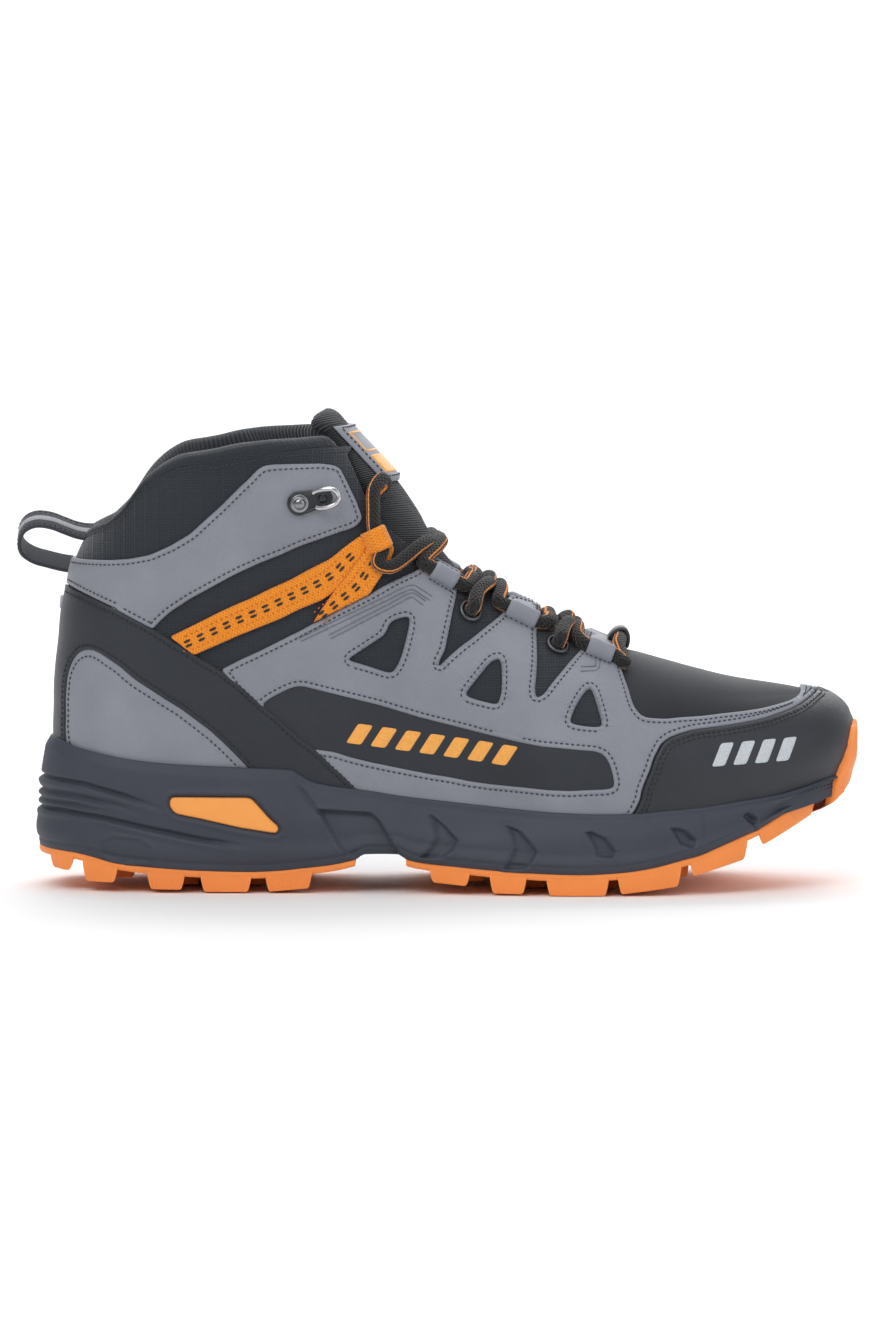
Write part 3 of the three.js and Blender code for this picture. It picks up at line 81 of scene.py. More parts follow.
OUT = dict(
    throat=[[-33.7,159.2],[-26.7,143.6],[-23,137.4],[-17.2,131.1],[-9.9,125.1],[-2.9,120.9],[8.1,114.6],[16,110.2],[25.4,105.6],[37.4,99.4],[46,94.8],[55.5,90.5],[63,87.3],[68.6,85.2]],
    ankle_band=[[-135.9,119.8],[-127.9,120.6],[-120.3,120.8],[-112.8,121.5],[-105.4,123.1],[-98.0,126.5],[-90.7,130.9],[-83.4,137.5],[-79.7,140.8],[-76.1,144.4],[-72.4,148.1],[-68.8,151.4],[-66.9,153.6],[-65.1,155.0],[-63.3,155.9],[-59.7,156.3],[-50.6,156.4],[-43.4,156.3],[-39.0,155.5],[-36.8,154.4],[-35.8,152.9],[-34.3,150.0],[-32.5,146.4],[-30.6,142.7],[-29.5,139.8],[-28.4,136.9],[-28.6,135.5],[-29.9,134.0],[-32.4,132.6],[-36.1,131.6],[-43.4,129.0],[-50.7,126.4],[-58.0,123.1],[-65.3,120.2],[-72.6,116.9],[-76.2,115.1],[-83.5,111.1],[-90.8,107.1],[-98.1,102.3],[-101.8,99.0],[-104.4,96.1],[-105.5,96.4],[-116.5,102.2],[-125.9,106.2],[-131.7,108.7],[-135.1,110.1],[-136.3,112.1]],
    cage=[[-79.6,81.1],[-72.6,84.7],[-65.3,88.0],[-58.0,91.7],[-50.7,95.3],[-46.0,97.9],[-39.8,101.5],[-32.5,105.2],[-25.2,108.9],[-17.9,112.9],[-14.2,114.6],[-8.8,116.7],[-5.8,118.7],[-2.9,121.7],[8.1,115.2],[6.6,110.5],[5.9,106.4],[4.8,102.1],[4.0,97.5],[2.9,92.0],[2.2,88.4],[0.0,84.0],[0.0,82.2],[4.0,86.2],[7.7,89.4],[11.3,92.0],[15.0,94.8],[18.7,97.6],[22.3,100.2],[23.5,101.6],[24.2,103.9],[25.4,106.6],[37.3,101.7],[37.2,99.8],[36.0,96.3],[35.5,93.7],[35.8,88.2],[35.8,82.9],[35.4,77.7],[35.0,74.1],[35.4,71.6],[36.4,71.3],[38.6,72.7],[40.5,75.5],[44.2,79.7],[47.9,83.8],[51.7,87.3],[52.9,89.2],[53.4,92.3],[55.5,93.5],[59.5,92.4],[65.8,89.0],[66.1,87.1],[65.8,84.3],[66.3,81.1],[67.7,77.1],[69.1,73.7],[70.1,70.2],[71.1,67.5],[72.6,65.4],[74.4,63.9],[76.9,63.4],[82.4,63.0],[87.9,63.4],[95.3,63.7],[102.7,64.4],[110.2,64.9],[117.7,65.7],[125.3,67.1],[129.2,67.9],[132.0,69.0],[133.8,70.7],[133.8,72.5]],
    cage_toe=[[140.4,71.7],[139.0,69.9],[136.1,68.2],[132.8,66.5],[128.9,65.0],[125.1,64.0],[121.3,62.9],[117.5,62.0],[110.0,60.8],[102.6,59.9],[95.2,59.2],[91.5,58.7],[87.8,57.8],[84.9,56.9],[83.0,56.1],[80.8,54.4],[79.4,51.9],[77.9,49.0],[76.8,45.4],[74.9,41.1],[73.8,38.2],[73.1,34.6],[71.7,31.6],[69.9,28.7]],
    cage_bot=[[58.6,28.4],[44.0,28.3],[36.8,28.9],[29.5,29.4],[22.3,30.2],[15.0,31.2],[7.7,32.1],[0.4,32.8],[-6.9,33.5],[-14.2,34.3],[-21.6,35.4],[-25.9,36.1]],
    w1=[[-33.6,84.7],[-28.1,88.4],[-19.7,93.9],[-17.9,98.6],[-14.2,100.1],[-11.3,100.6],[-10.6,99.3],[-11.3,95.0],[-13.5,86.5],[-15.3,82.2],[-17.5,79.6],[-25.2,82.2]],
    w2=[[9.5,72.4],[15.0,79.3],[18.6,83.7],[21.2,85.1],[22.6,84.4],[23.0,81.2],[23.0,74.0],[22.3,70.4],[21.2,68.5],[16.8,69.5],[11.3,70.9]],
    w3=[[54.4,74.3],[55.8,74.0],[57.6,68.7],[59.3,62.7],[59.0,60.6],[53.1,61.0],[48.4,62.0],[47.7,63.1],[49.5,67.7],[52.1,71.9]],
    side_panel=[[-64.6,68.3],[-61.7,70.5],[-58.0,72.5],[-54.4,74.2],[-51.8,74.9],[-49.6,74.9],[-43.4,73.4],[-36.1,71.6],[-28.8,69.8],[-21.5,68.0],[-14.2,65.8],[-6.9,63.6],[0.4,61.8],[7.7,60.0],[15.0,58.2],[22.2,56.6],[29.5,55.0],[36.8,53.7],[44.0,53.1],[51.3,52.4],[56.7,52.0],[59.6,51.0],[61.5,48.4],[62.6,45.5],[63.3,42.6],[63.6,40.1],[62.9,39.0],[60.4,38.5],[54.9,38.3],[47.7,37.9],[40.4,38.1],[33.1,38.7],[25.9,39.2],[18.6,39.7],[11.3,40.6],[4.0,42.0],[-3.3,43.1],[-10.6,44.5],[-17.9,46.0],[-25.2,47.5],[-32.5,49.3],[-38.0,51.1],[-43.5,51.9],[-46.4,52.2]],
    strap_top=[[-138.2,110.6],[-135.1,109.7],[-129.8,108.1],[-124.0,105.9],[-116.5,102.5],[-109.1,98.6],[-104.4,96.1],[-98.2,92.1],[-90.9,87.7],[-87.2,85.1],[-79.6,80.7],[-72.7,75.6],[-64.6,68.3],[-58.1,63.2],[-50.8,56.3],[-44.6,51.9],[-39.8,47.1],[-34.3,42.0],[-28.9,36.8],[-26.7,35.7]],
    strap_low=[[-69.0,44.2],[-72.7,48.2],[-78.1,53.7],[-83.6,58.8],[-89.1,62.9],[-94.5,66.9],[-100.0,70.2],[-105.5,73.8],[-111.0,77.4],[-116.5,82.1],[-120.2,84.5],[-124.0,86.9],[-127.0,87.9],[-129.7,87.4],[-131.6,86.1],[-133.2,83.8],[-134.7,80.1],[-135.5,76.3],[-135.9,72.7],[-136.3,69.0],[-136.3,57.9],[-135.9,54.3],[-135.5,51.8]],
    mid_top=[[-138.7,53.2],[-135.5,51.9],[-127.7,50.3],[-116.5,48.2],[-98.2,46.1],[-69.0,44.6],[-54.4,43.9],[-50.8,42.1],[-47.1,39.9],[-41.6,38.4],[-30.7,36.9],[-25.2,36.2],[-14.2,34.4],[4.0,32.2],[22.2,30.4],[40.4,29.1],[58.5,28.5],[73.1,28.8],[80.4,29.5],[95.1,30.6],[109.8,32.5],[124.8,34.3],[136.2,36.9],[142.0,38.6],[145.6,39.6]],
    web1=[[-98.2,93.2],[-87.2,98.6],[-79.9,102.3],[-72.6,105.6],[-69.0,107.0],[-61.7,110.7],[-54.3,114.0],[-47.0,118.0],[-39.7,121.7],[-34.3,126.1],[-30.6,128.9],[-28.8,130.0],[-26.6,125.3],[-28.1,122.4],[-36.8,111.1],[-39.8,108.5],[-43.4,106.3],[-50.7,103.4],[-58.0,99.7],[-65.3,96.8],[-72.6,93.9],[-89.6,86.4]],
    web2=[[-24.4,131.0],[-25.2,128.1],[-26.6,125.3],[-30.6,120.2],[-34.3,114.7],[-37.9,110.3],[-41.6,105.2],[-44.2,101.2],[-46.0,98.3],[-39.0,101.9],[-32.1,105.4],[-25.2,108.9],[-23.3,112.2],[-20.8,115.8],[-18.2,120.4],[-17.2,123.6],[-17.2,125.4]],
    collar_seam=[[-129.9,127.3],[-124.2,129.0],[-119.6,131.8],[-115.8,135.2],[-112.4,140.1],[-109.4,144.9],[-106.4,150.1],[-103.4,155.3],[-101.6,157.5],[-94.2,160.5],[-79.7,161.9],[-72.4,163.8],[-61.5,164.4],[-43.4,164.5],[-39.8,163.3],[-36.9,161.1],[-34.3,157.5]],
    label=[[-36.6,165.7],[-31.7,169.3],[-12.6,149.8],[-17.2,145.4]],
    tabA=[[-5.5,114.1],[4.0,109.2]],
    tabB=[[24.2,98.8],[35.2,94.3]],
    tabC=[[52.7,85.3],[63.4,82.2]],
    eyelet=[[11.3,102.0],[43.2,89.3]],
    hook=[[-51.1,142.2],[-42.6,144.0]],
    print1=[[-38.7,62.9],[-21.5,62.1],[-3.3,57.4],[15.0,53.1],[33.1,49.6],[34.2,43.5],[15.0,45.5],[-3.3,49.3],[-21.5,53.7],[-36.1,57.4]],
    print2=[[96.9,45.8],[131.9,49.8],[130.8,55.6],[97.3,50.5]],
    insert=[[-97.9,35.3],[-96.0,35.5],[-69.5,35.3],[-67.7,34.5],[-65.8,32.4],[-61.5,27.6],[-58.2,24.7],[-57.9,22.9],[-59.0,21.4],[-60.8,21.4],[-72.4,23.2],[-87.0,26.5],[-96.1,28.3],[-98.2,30.2],[-99.0,32.4],[-98.6,34.2]],
    fold=[[-14.0,148.1],[-10.7,144.6],[-7.8,140.9],[-5.5,137.6],[-3.3,134.2]],
)

xback = pchip(BACK, 1, 0); zridge = pchip(RIDGE, 0, 1); xtoe_ = pchip(TOE, 1, 0)
xankle_ = pchip([p for p in RIDGE if p[1] >= 70], 1, 0); zfeath = pchip(FEATHER, 0, 1)
wfoot = pchip(WIDTH_FOOT, 0, 1); wankle = pchip(WIDTH_ANKLE, 0, 1); ztop = pchip(TOPLINE, 0, 1)
def ycen(x): return 4.5 * smooth((x - 30) / 120.) - 0.5 * smooth((-x - 60) / 60)
def width(x, z):
    x = A(x); z = A(z)
    zf = zfeath(x); zr = np.maximum(zridge(np.clip(x, -39, 151.5)), zf + 1)
    q = np.clip((z - zf) / (zr - zf), 0, 1)
    m = 2.3 + 0.7 * smooth(x / 30.) + 0.2 * smooth((x - 70) / 60)
    wf = wfoot(x) * cap((xtoe_(np.clip(z, 20, 70.3)) - x) / 46., 2.15) * np.sqrt(np.maximum(0, 1 - q ** m)) * (1 - 0.05 * (1 - q) ** 5)
    wa = wankle(z) * cap((xankle_(np.maximum(z, 70.4)) - x) / 43.) * cap((x - xback(z)) / 36., 2.1)
    t = smooth((45 - x) / 52.)
    return (1 - t) * wf + t * wa
FRONT = [[148.9, 38.5], [149.5, 42.3], [151, 47], [152.2, 53], [152.3, 58]] + RIDGE
_fp = A(FRONT); FS = np.r_[0, np.cumsum(np.hypot(*np.diff(_fp, axis=0).T))]
frontx = pchip(np.c_[FS, _fp[:, 0]], 0, 1); frontz = pchip(np.c_[FS, _fp[:, 1]], 0, 1)
S_TOP = FS[[i for i, p in enumerate(FRONT) if p[0] == -32.9][0]]
frontarc = pchip([[0, 0], [0.12, 14], [0.25, 34], [0.4, 75], [0.55, 115], [0.7, 158], [0.85, 200], [1, S_TOP], [1.06, S_TOP + 10]], 0, 1)

def sv(s, v):
    """side-view (x, z) of loop position s (0 heel, 1 front) on loop v"""
    zB = 33 + 98.7 * v; xB = xback(zB); a = frontarc(v); xF = frontx(a); zF = frontz(a)
    x = xB + s * (xF - xB); dv = np.clip(v, 0, 1)
    d0 = zfeath(-141.5 + s * 290.4) - (33 + s * 5.5); d1 = ztop(-128.8 + s * 95.9) - (131.7 + s * 37.6)
    z = zB + s * (zF - zB) + (1 - dv) ** 1.6 * d0 + dv ** 2.6 * d1
    return x, np.where(x > -33, np.minimum(z, zridge(np.clip(x, -39.6, 151.6))), z)
def P(th, v):
    s = (1 - np.cos(th)) / 2
    x, z = sv(s, v)
    sn = np.sin(th)
    y = ycen(x) + np.where(np.abs(sn) < 1e-9, 0, np.where(sn > 0, -1., 1.)) * width(x, z)
    return np.stack([x, y, z], -1)
def frame_at(th, v):
    e = 0.01
    a = P(th + e, v) - P(th - e, v); b = P(th, v + 0.004) - P(th, v - 0.004)
    return a / (2 * e), b / 0.008, unit(np.cross(a, b))
def puff(p):
    """slight unevenness of the stitched and lasted upper, mm"""
    x, y, z = p[..., 0], p[..., 1], p[..., 2]
    a = np.sin(x * .071 + z * .11 + 1.3) * np.sin(z * .093 - y * .05 + .4) + .6 * np.sin(x * .16 - z * .12 + y * .07 + 2.1) * np.sin(z * .19 + x * .05)
    return 0.22 * a
def surf(th, v, off=0.0):
    th = A(th); v = A(v); p = P(th, v); n = frame_at(th, v)[2]
    return p + n * (A(off) + puff(p))[..., None]
def inv(x, z, side=-1):
    """(theta, v) of side-view points"""
    x = A(x); z = A(z)
    S0, V0 = np.meshgrid(np.linspace(0.002, 0.998, 90), np.linspace(-0.03, 1.05, 80))
    gx, gz = sv(S0, V0); g = np.c_[gx.ravel(), gz.ravel()]
    s = np.empty(len(x)); v = np.empty(len(x))
    for i in range(0, len(x), 400):
        d = (g[None, :, 0] - x[i:i + 400, None]) ** 2 + (g[None, :, 1] - z[i:i + 400, None]) ** 2
        k = d.argmin(1); s[i:i + 400] = S0.ravel()[k]; v[i:i + 400] = V0.ravel()[k]
    for _ in range(12):
        x0, z0 = sv(s, v); xs, zs = sv(s + 1e-4, v); xv, zv = sv(s, v + 1e-4)
        a, b, c, d = (xs - x0) / 1e-4, (xv - x0) / 1e-4, (zs - z0) / 1e-4, (zv - z0) / 1e-4
        det = a * d - b * c; det = np.where(np.abs(det) < 1e-6, 1e-6, det)
        rx, rz = x - x0, z - z0
        ds = (d * rx - b * rz) / det; dv = (-c * rx + a * rz) / det
        s = np.clip(s + np.clip(ds, -.05, .05), 0, 1); v = np.clip(v + np.clip(dv, -.05, .05), -0.04, 1.055)
    th = np.arccos(np.clip(1 - 2 * s, -1, 1))
    return (th if side < 0 else 2 * np.pi - th), v

# ------------------------------------------------------------------ meshes
def mesh(name, verts, faces, mats, uv=None, smooth_=True, midx=None):
    """verts in mm, unshifted"""
    me = bpy.data.meshes.new(name)
    V = (A(verts) + SHIFT) / 1000.
    me.from_pydata(V.tolist(), [], [tuple(int(i) for i in f) for f in faces])
    for m in (mats if isinstance(mats, (list, tuple)) else [mats]): me.materials.append(m)
    if uv is not None:
        lay = me.uv_layers.new(name="UVMap"); li = np.empty(len(me.loops), int); me.loops.foreach_get("vertex_index", li)
        lay.data.foreach_set("uv", A(uv)[li].astype(np.float32).ravel())
    if midx is not None: me.polygons.foreach_set("material_index", A(midx).astype(int))
    if smooth_: me.polygons.foreach_set("use_smooth", [True] * len(me.polygons))
    me.update(); me.validate()
    o = bpy.data.objects.new(name, me); bpy.context.scene.collection.objects.link(o)
    return o
def grid_faces(nr, nc, wrap=False, flip=False, base=0):
    r = np.arange(nr - 1)[:, None]; c = np.arange(nc if wrap else nc - 1)[None, :]
    a = r * nc + c; b = r * nc + (c + 1) % nc; cc = (r + 1) * nc + (c + 1) % nc; d = (r + 1) * nc + c
    f = np.stack([a, b, cc, d], -1).reshape(-1, 4) + base
    return f[:, ::-1] if flip else f
def inside(pts, poly):
    x, y = pts[:, 0], pts[:, 1]; px, py = poly[:, 0], poly[:, 1]; qx, qy = np.roll(px, -1), np.roll(py, -1)
    res = np.zeros(len(x), bool)
    for i in range(0, len(x), 4000):
        xs, ys = x[i:i + 4000, None], y[i:i + 4000, None]
        c = ((py > ys) != (qy > ys)) & (xs < (qx - px) * (ys - py) / np.where(qy - py == 0, 1e-12, qy - py) + px)
        res[i:i + 4000] = c.sum(1) % 2 == 1
    return res
def densify(poly, step, closed=True):
    p = A(poly); out = []
    n = len(p)
    for i in range(n if closed else n - 1):
        a, b = p[i], p[(i + 1) % n]; k = max(1, int(np.ceil(np.linalg.norm(b - a) / step)))
        out += [a + (b - a) * j / k for j in range(k)]
    if not closed: out.append(p[-1])
    return A(out)
def rounded(poly, r=1.2, it=2, closed=True):
    """corner-cut smoothing of an outline, mm"""
    p = A(poly)
    for _ in range(it):
        q = []
        n = len(p)
        for i in range(n):
            a, b, c = p[i - 1], p[i], p[(i + 1) % n]
            if not closed and i in (0, n - 1): q.append(b); continue
            la, lc = np.linalg.norm(a - b), np.linalg.norm(c - b)
            t1 = min(.3, r / max(la, 1e-6)); t2 = min(.3, r / max(lc, 1e-6))
            q += [b + (a - b) * t1, b + (c - b) * t2]
        p = A(q)
    return p
DOM = np.array([110., 190.])
def kd_of(pts):
    k = kdtree.KDTree(len(pts))
    for i, p in enumerate(pts): k.insert(p, i)
    k.balance(); return k
def kd_dist(k, pts): return np.array([k.find(p)[2] for p in pts]) if len(pts) else np.zeros(0)
def side_uv(p): return np.c_[p[:, 0], p[:, 2] + 0.25 * np.abs(p[:, 1])]
def top_uv(p):
    w = smooth((p[:, 0] - 60) / 40); return np.c_[p[:, 0], p[:, 2] * (1 - w) + p[:, 1] * w]
def weld(objs, name):
    bpy.ops.object.select_all(action='DESELECT')
    for o in objs: o.select_set(True)
    bpy.context.view_layer.objects.active = objs[0]; bpy.ops.object.join()
    o = objs[0]; o.name = name
    import bmesh
    bm = bmesh.new(); bm.from_mesh(o.data); bmesh.ops.remove_doubles(bm, verts=bm.verts, dist=1.5e-5); bm.to_mesh(o.data); bm.free(); o.data.update()
    return o
# stitches -------------------------------------------------------------------
_ST = None
def capsules(name, pos, tan, nor, mat, length=1.25, rad=.3, lift=.1):
    k = 6; prof = [(-.5, 0.0), (-.36, .8), (0, 1.), (.36, .8), (.5, 0.0)]
    ang = np.arange(k) * 2 * np.pi / k; V = []; n = len(pos)
    bi = np.cross(nor, tan)
    for (a, r) in prof:
        for q in ang:
            V.append(pos + tan * (a * length) + bi * (math.cos(q) * r * rad) + nor * (math.sin(q) * r * rad + lift))
    V = np.stack(V, 1).reshape(-1, 3)
    f = grid_faces(len(prof), k, wrap=True); m = len(prof) * k
    Fc = (f[None] + (np.arange(n) * m)[:, None, None]).reshape(-1, 4)
    return mesh(name, V, Fc, mat)

# ------------------------------------------------------------------ materials
def srgb(*c):
    c = [v / 255. for v in c]
    return tuple((v / 12.92 if v <= .04045 else ((v + .055) / 1.055) ** 2.4) for v in c) + (1.,)
class Mat:
    def __init__(s, name, col, rough=.6, metal=0., spec=None, sheen=0., coat=0.):
        s.m = bpy.data.materials.new(name); s.m.use_nodes = True; s.t = s.m.node_tree; s.n = s.t.nodes; s.b = s.n["Principled BSDF"]
        s.b.inputs["Base Color"].default_value = col; s.b.inputs["Roughness"].default_value = rough; s.b.inputs["Metallic"].default_value = metal
        if spec is not None: s.b.inputs["Specular IOR Level"].default_value = spec
        if sheen: s.b.inputs["Sheen Weight"].default_value = sheen; s.b.inputs["Sheen Roughness"].default_value = .5
        if coat: s.b.inputs["Coat Weight"].default_value = coat; s.b.inputs["Coat Roughness"].default_value = .35
        tc = s.n.new("ShaderNodeTexCoord"); s.obj = tc.outputs["Object"]; s.uv = tc.outputs["UV"]; s.nrm = None
    def L(s, a, b): s.t.links.new(a, b)
    def put(s, sock, v):
        if hasattr(v, "is_output"): s.L(v, sock)
        elif v is not None: sock.default_value = v
    def vec(s, src, scale=(1, 1, 1), rot=(0, 0, 0)):
        n = s.n.new("ShaderNodeMapping"); s.L(src, n.inputs["Vector"]); n.inputs["Scale"].default_value = scale; n.inputs["Rotation"].default_value = rot; return n.outputs["Vector"]
    def noise(s, scale, detail=3., rough=.55, src=None):
        n = s.n.new("ShaderNodeTexNoise"); s.L(src or s.obj, n.inputs["Vector"]); n.inputs["Scale"].default_value = scale; n.inputs["Detail"].default_value = detail; n.inputs["Roughness"].default_value = rough; return n.outputs["Fac"]
    def vor(s, scale, feature='F1', src=None, out="Distance"):
        n = s.n.new("ShaderNodeTexVoronoi"); n.feature = feature; s.L(src or s.obj, n.inputs["Vector"]); n.inputs["Scale"].default_value = scale; return n.outputs[out]
    def wave(s, scale, src=None, d='X', dist=0., kind='BANDS', prof='SIN'):
        n = s.n.new("ShaderNodeTexWave"); n.wave_type = kind; n.bands_direction = d; n.wave_profile = prof; s.L(src or s.obj, n.inputs["Vector"]); n.inputs["Scale"].default_value = scale; n.inputs["Distortion"].default_value = dist; return n.outputs["Fac"]
    def op(s, o, a, b=None, c=None):
        n = s.n.new("ShaderNodeMath"); n.operation = o; s.put(n.inputs[0], a)
        if b is not None: s.put(n.inputs[1], b)
        if c is not None: s.put(n.inputs[2], c)
        return n.outputs[0]
    def ramp(s, fac, *stops):
        n = s.n.new("ShaderNodeValToRGB"); s.L(fac, n.inputs["Fac"]); e = n.color_ramp.elements
        while len(e) < len(stops): e.new(.5)
        for k, (p, c) in zip(e, stops): k.position = p; k.color = c if isinstance(c, tuple) else (c, c, c, 1)
        return n.outputs["Color"]
    def mix(s, fac, a, b, mode='MIX'):
        n = s.n.new("ShaderNodeMix"); n.data_type = 'RGBA'; n.blend_type = mode; s.put(n.inputs[0], fac); s.put(n.inputs[6], a); s.put(n.inputs[7], b); return n.outputs[2]
    def color(s, c): s.L(c, s.b.inputs["Base Color"])
    def rough(s, fac, lo, hi):
        n = s.n.new("ShaderNodeMapRange"); s.L(fac, n.inputs["Value"]); n.inputs["To Min"].default_value = lo; n.inputs["To Max"].default_value = hi; s.L(n.outputs["Result"], s.b.inputs["Roughness"])
    def bump(s, h, strength=.5, dist=.0003):
        n = s.n.new("ShaderNodeBump"); n.inputs["Strength"].default_value = strength; n.inputs["Distance"].default_value = dist; s.L(h, n.inputs["Height"])
        if s.nrm is not None: s.L(s.nrm, n.inputs["Normal"])
        s.nrm = n.outputs["Normal"]; s.L(s.nrm, s.b.inputs["Normal"])
    # painted highlight: colour lightened on convex edges (by pointiness), broken up by noise
    def painted_edge_highlight(s, col, light, amount=.35):
        g = s.n.new("ShaderNodeNewGeometry"); r = s.ramp(g.outputs["Pointiness"], (.52, 0.), (.62, 1.)); w = s.op('MULTIPLY', r, s.op('MULTIPLY', s.noise(160., 4.), amount)); return s.mix(w, col, light)
def scaled(c, k): return tuple(min(1, v * k) for v in c[:3]) + (1.,)

def synthetic(name, col, rough=.52, grain=1500., k=.45):
    m = Mat(name, col, rough, spec=.4, sheen=.12)
    v = m.vor(grain, 'DISTANCE_TO_EDGE'); f = m.noise(grain * 2.2, 4.); big = m.noise(38., 3.)
    c = m.ramp(big, (.3, scaled(col, .90)), (.7, scaled(col, 1.09)))
    c = m.mix(m.ramp(v, (.0, .26), (.16, 0.)), c, scaled(col, .6)); c = m.mix(m.op('MULTIPLY', f, .16), c, scaled(col, 1.3), 'MIX')
    # convex edges lightened as a painted highlight
    m.color(m.painted_edge_highlight(c, scaled(col, 1.6), .5)); m.rough(f, rough - .08, rough + .16)
    m.bump(m.ramp(v, (.0, 0.), (.22, 1.)), .42 * k, .00018); m.bump(f, .25 * k, .00012); return m.m
def ripstop(name, col, grid=.16):
    m = Mat(name, col, .78, spec=.25, sheen=.3)
    w1 = m.wave(330., m.uv, 'X'); w2 = m.wave(330., m.uv, 'Y'); wv = m.op('MULTIPLY', m.op('ADD', w1, w2), .5)
    gx = m.ramp(m.wave(78., m.uv, 'X'), (.86, 0.), (.97, 1.)); gy = m.ramp(m.wave(78., m.uv, 'Y'), (.86, 0.), (.97, 1.)); g = m.op('MAXIMUM', gx, gy)
    big = m.noise(30., 3.); c = m.ramp(big, (.3, scaled(col, .86)), (.7, scaled(col, 1.14)))
    c = m.mix(m.ramp(wv, (.2, .7), (.75, 0.)), c, scaled(col, .45)); c = m.mix(m.op('MULTIPLY', g, grid), c, scaled(col, 2.4)); m.color(c)
    m.bump(wv, .5, .00026); m.bump(g, .45, .0003); return m.m
def softshell(name, col):
    m = Mat(name, col, .68, spec=.18, sheen=.06)
    n = m.noise(1300., 4.); w = m.vor(1500.); big = m.noise(26., 3.); c = m.ramp(big, (.3, scaled(col, .88)), (.7, scaled(col, 1.12))); c = m.mix(m.ramp(w, (.1, .3), (.5, 0.)), c, scaled(col, .6)); m.color(c); m.rough(n, .55, .72); m.bump(n, .25, .00014); return m.m
def rib(name, col, per=190., direction='X'):
    m = Mat(name, col, .9, spec=.2, sheen=.3)
    r = m.wave(per, m.uv, direction); f = m.wave(520., m.uv, 'Y' if direction == 'X' else 'X'); n = m.noise(900., 4.)
    c = m.mix(m.ramp(r, (.15, .85), (.7, 0.)), m.ramp(n, (.3, scaled(col, .8)), (.7, scaled(col, 1.25))), scaled(col, .3)); m.color(c)
    m.bump(r, .9, .0007); m.bump(f, .35, .00025); m.bump(n, .3, .0002); return m.m
def foam(name, col):
    m = Mat(name, col, .6, spec=.35)
    n = m.noise(1400., 4.); big = m.noise(22., 4.); sp = m.vor(700.)
    # convex edges lightened as a painted highlight
    c = m.ramp(big, (.3, scaled(col, .90)), (.7, scaled(col, 1.10))); c = m.mix(m.ramp(sp, (.05, .22), (.25, 0.)), c, scaled(col, 1.45)); m.color(m.painted_edge_highlight(c, scaled(col, 1.5), .5))
    m.rough(n, .52, .70); m.bump(n, .30, .00016); return m.m
def rubber(name, col, rough=.5):
    m = Mat(name, col, rough, spec=.45); m.b.inputs["Subsurface Weight"].default_value = .04; m.b.inputs["Subsurface Radius"].default_value = (.004, .002, .001)
    n = m.noise(1100., 4.); big = m.noise(26., 4.); c = m.ramp(big, (.3, scaled(col, .93)), (.7, scaled(col, 1.06)))
    # convex edges lightened as a painted highlight
    d = m.noise(90., 6., .7); c = m.mix(m.ramp(d, (.55, 0.), (.8, .18)), c, scaled(col, .62)); m.color(m.painted_edge_highlight(c, scaled(col, 1.2), .4)); m.rough(n, rough - .06, rough + .16); m.bump(n, .22, .00014); return m.m
def webbing(name, col, dash=None):  # ribbed across, diagonal yarn
    m = Mat(name, col, .75, spec=.3, sheen=.25)   # uv: x along, y across (metres)
    a = m.wave(310., m.vec(m.uv, (1, 1, 1), (0, 0, .62)), 'X'); b = m.wave(310., m.vec(m.uv, (1, 1, 1), (0, 0, -.62)), 'X'); e = m.wave(230., m.uv, 'X')
    w = m.op('MULTIPLY', m.op('ADD', a, b), .5); n = m.noise(700., 3.)
    c = m.mix(m.ramp(w, (.2, .6), (.7, 0.)), m.ramp(n, (.3, scaled(col, .88)), (.7, scaled(col, 1.1))), scaled(col, .55)); c = m.mix(m.ramp(e, (.0, .22), (.4, 0.)), c, scaled(col, .5)); m.color(c)
    m.bump(w, .6, .0003); m.bump(e, .3, .0003); return m.m
def braid(name, col, tracer):
    m = Mat(name, col, .8, spec=.25, sheen=.2)    # uv: x along (metres), y 0..1 round
    def spiral(sign):
        v = m.vec(m.uv, (1, 1, 1)); x = m.n.new("ShaderNodeSeparateXYZ"); m.L(m.uv, x.inputs[0])
        return m.op('SINE', m.op('MULTIPLY', m.op('ADD', m.op('MULTIPLY', x.outputs[0], 560.), m.op('MULTIPLY', x.outputs[1], 8. * sign)), 6.28318)), x
    a, xa = spiral(1); b, xb = spiral(-1); h = m.op('MAXIMUM', a, b)
    # two tracer yarns run lengthways in short visible floats
    def tr(pos):
        d = m.op('ABSOLUTE', m.op('SUBTRACT', m.op('FRACT', m.op('ADD', xa.outputs[1], pos)), .5)); on = m.op('LESS_THAN', d, .034)
        return on
    t = m.op('MAXIMUM', tr(0.), tr(.5)); n = m.noise(1500., 3.)
    c = m.mix(m.ramp(h, (.1, .7), (.9, 0.)), m.ramp(n, (.3, scaled(col, .8)), (.7, scaled(col, 1.5))), scaled(col, .35)); m.color(m.mix(t, c, tracer))
    m.bump(h, .7, .0004); m.bump(n, .3, .0002); return m.m
def metal(name, col, rough=.3):
    m = Mat(name, col, rough, 1.0); n = m.noise(500., 4.); m.rough(n, rough - .08, rough + .16); m.color(m.ramp(m.noise(60., 3.), (.3, scaled(col, .8)), (.7, scaled(col, 1.15)))); m.bump(n, .08, .0001); return m.m
def plain(name, col, rough=.6, grain=900.):
    m = Mat(name, col, rough); n = m.noise(grain, 4.); m.color(m.ramp(n, (.3, scaled(col, .86)), (.7, scaled(col, 1.14)))); m.bump(n, .2, .00012); return m.m

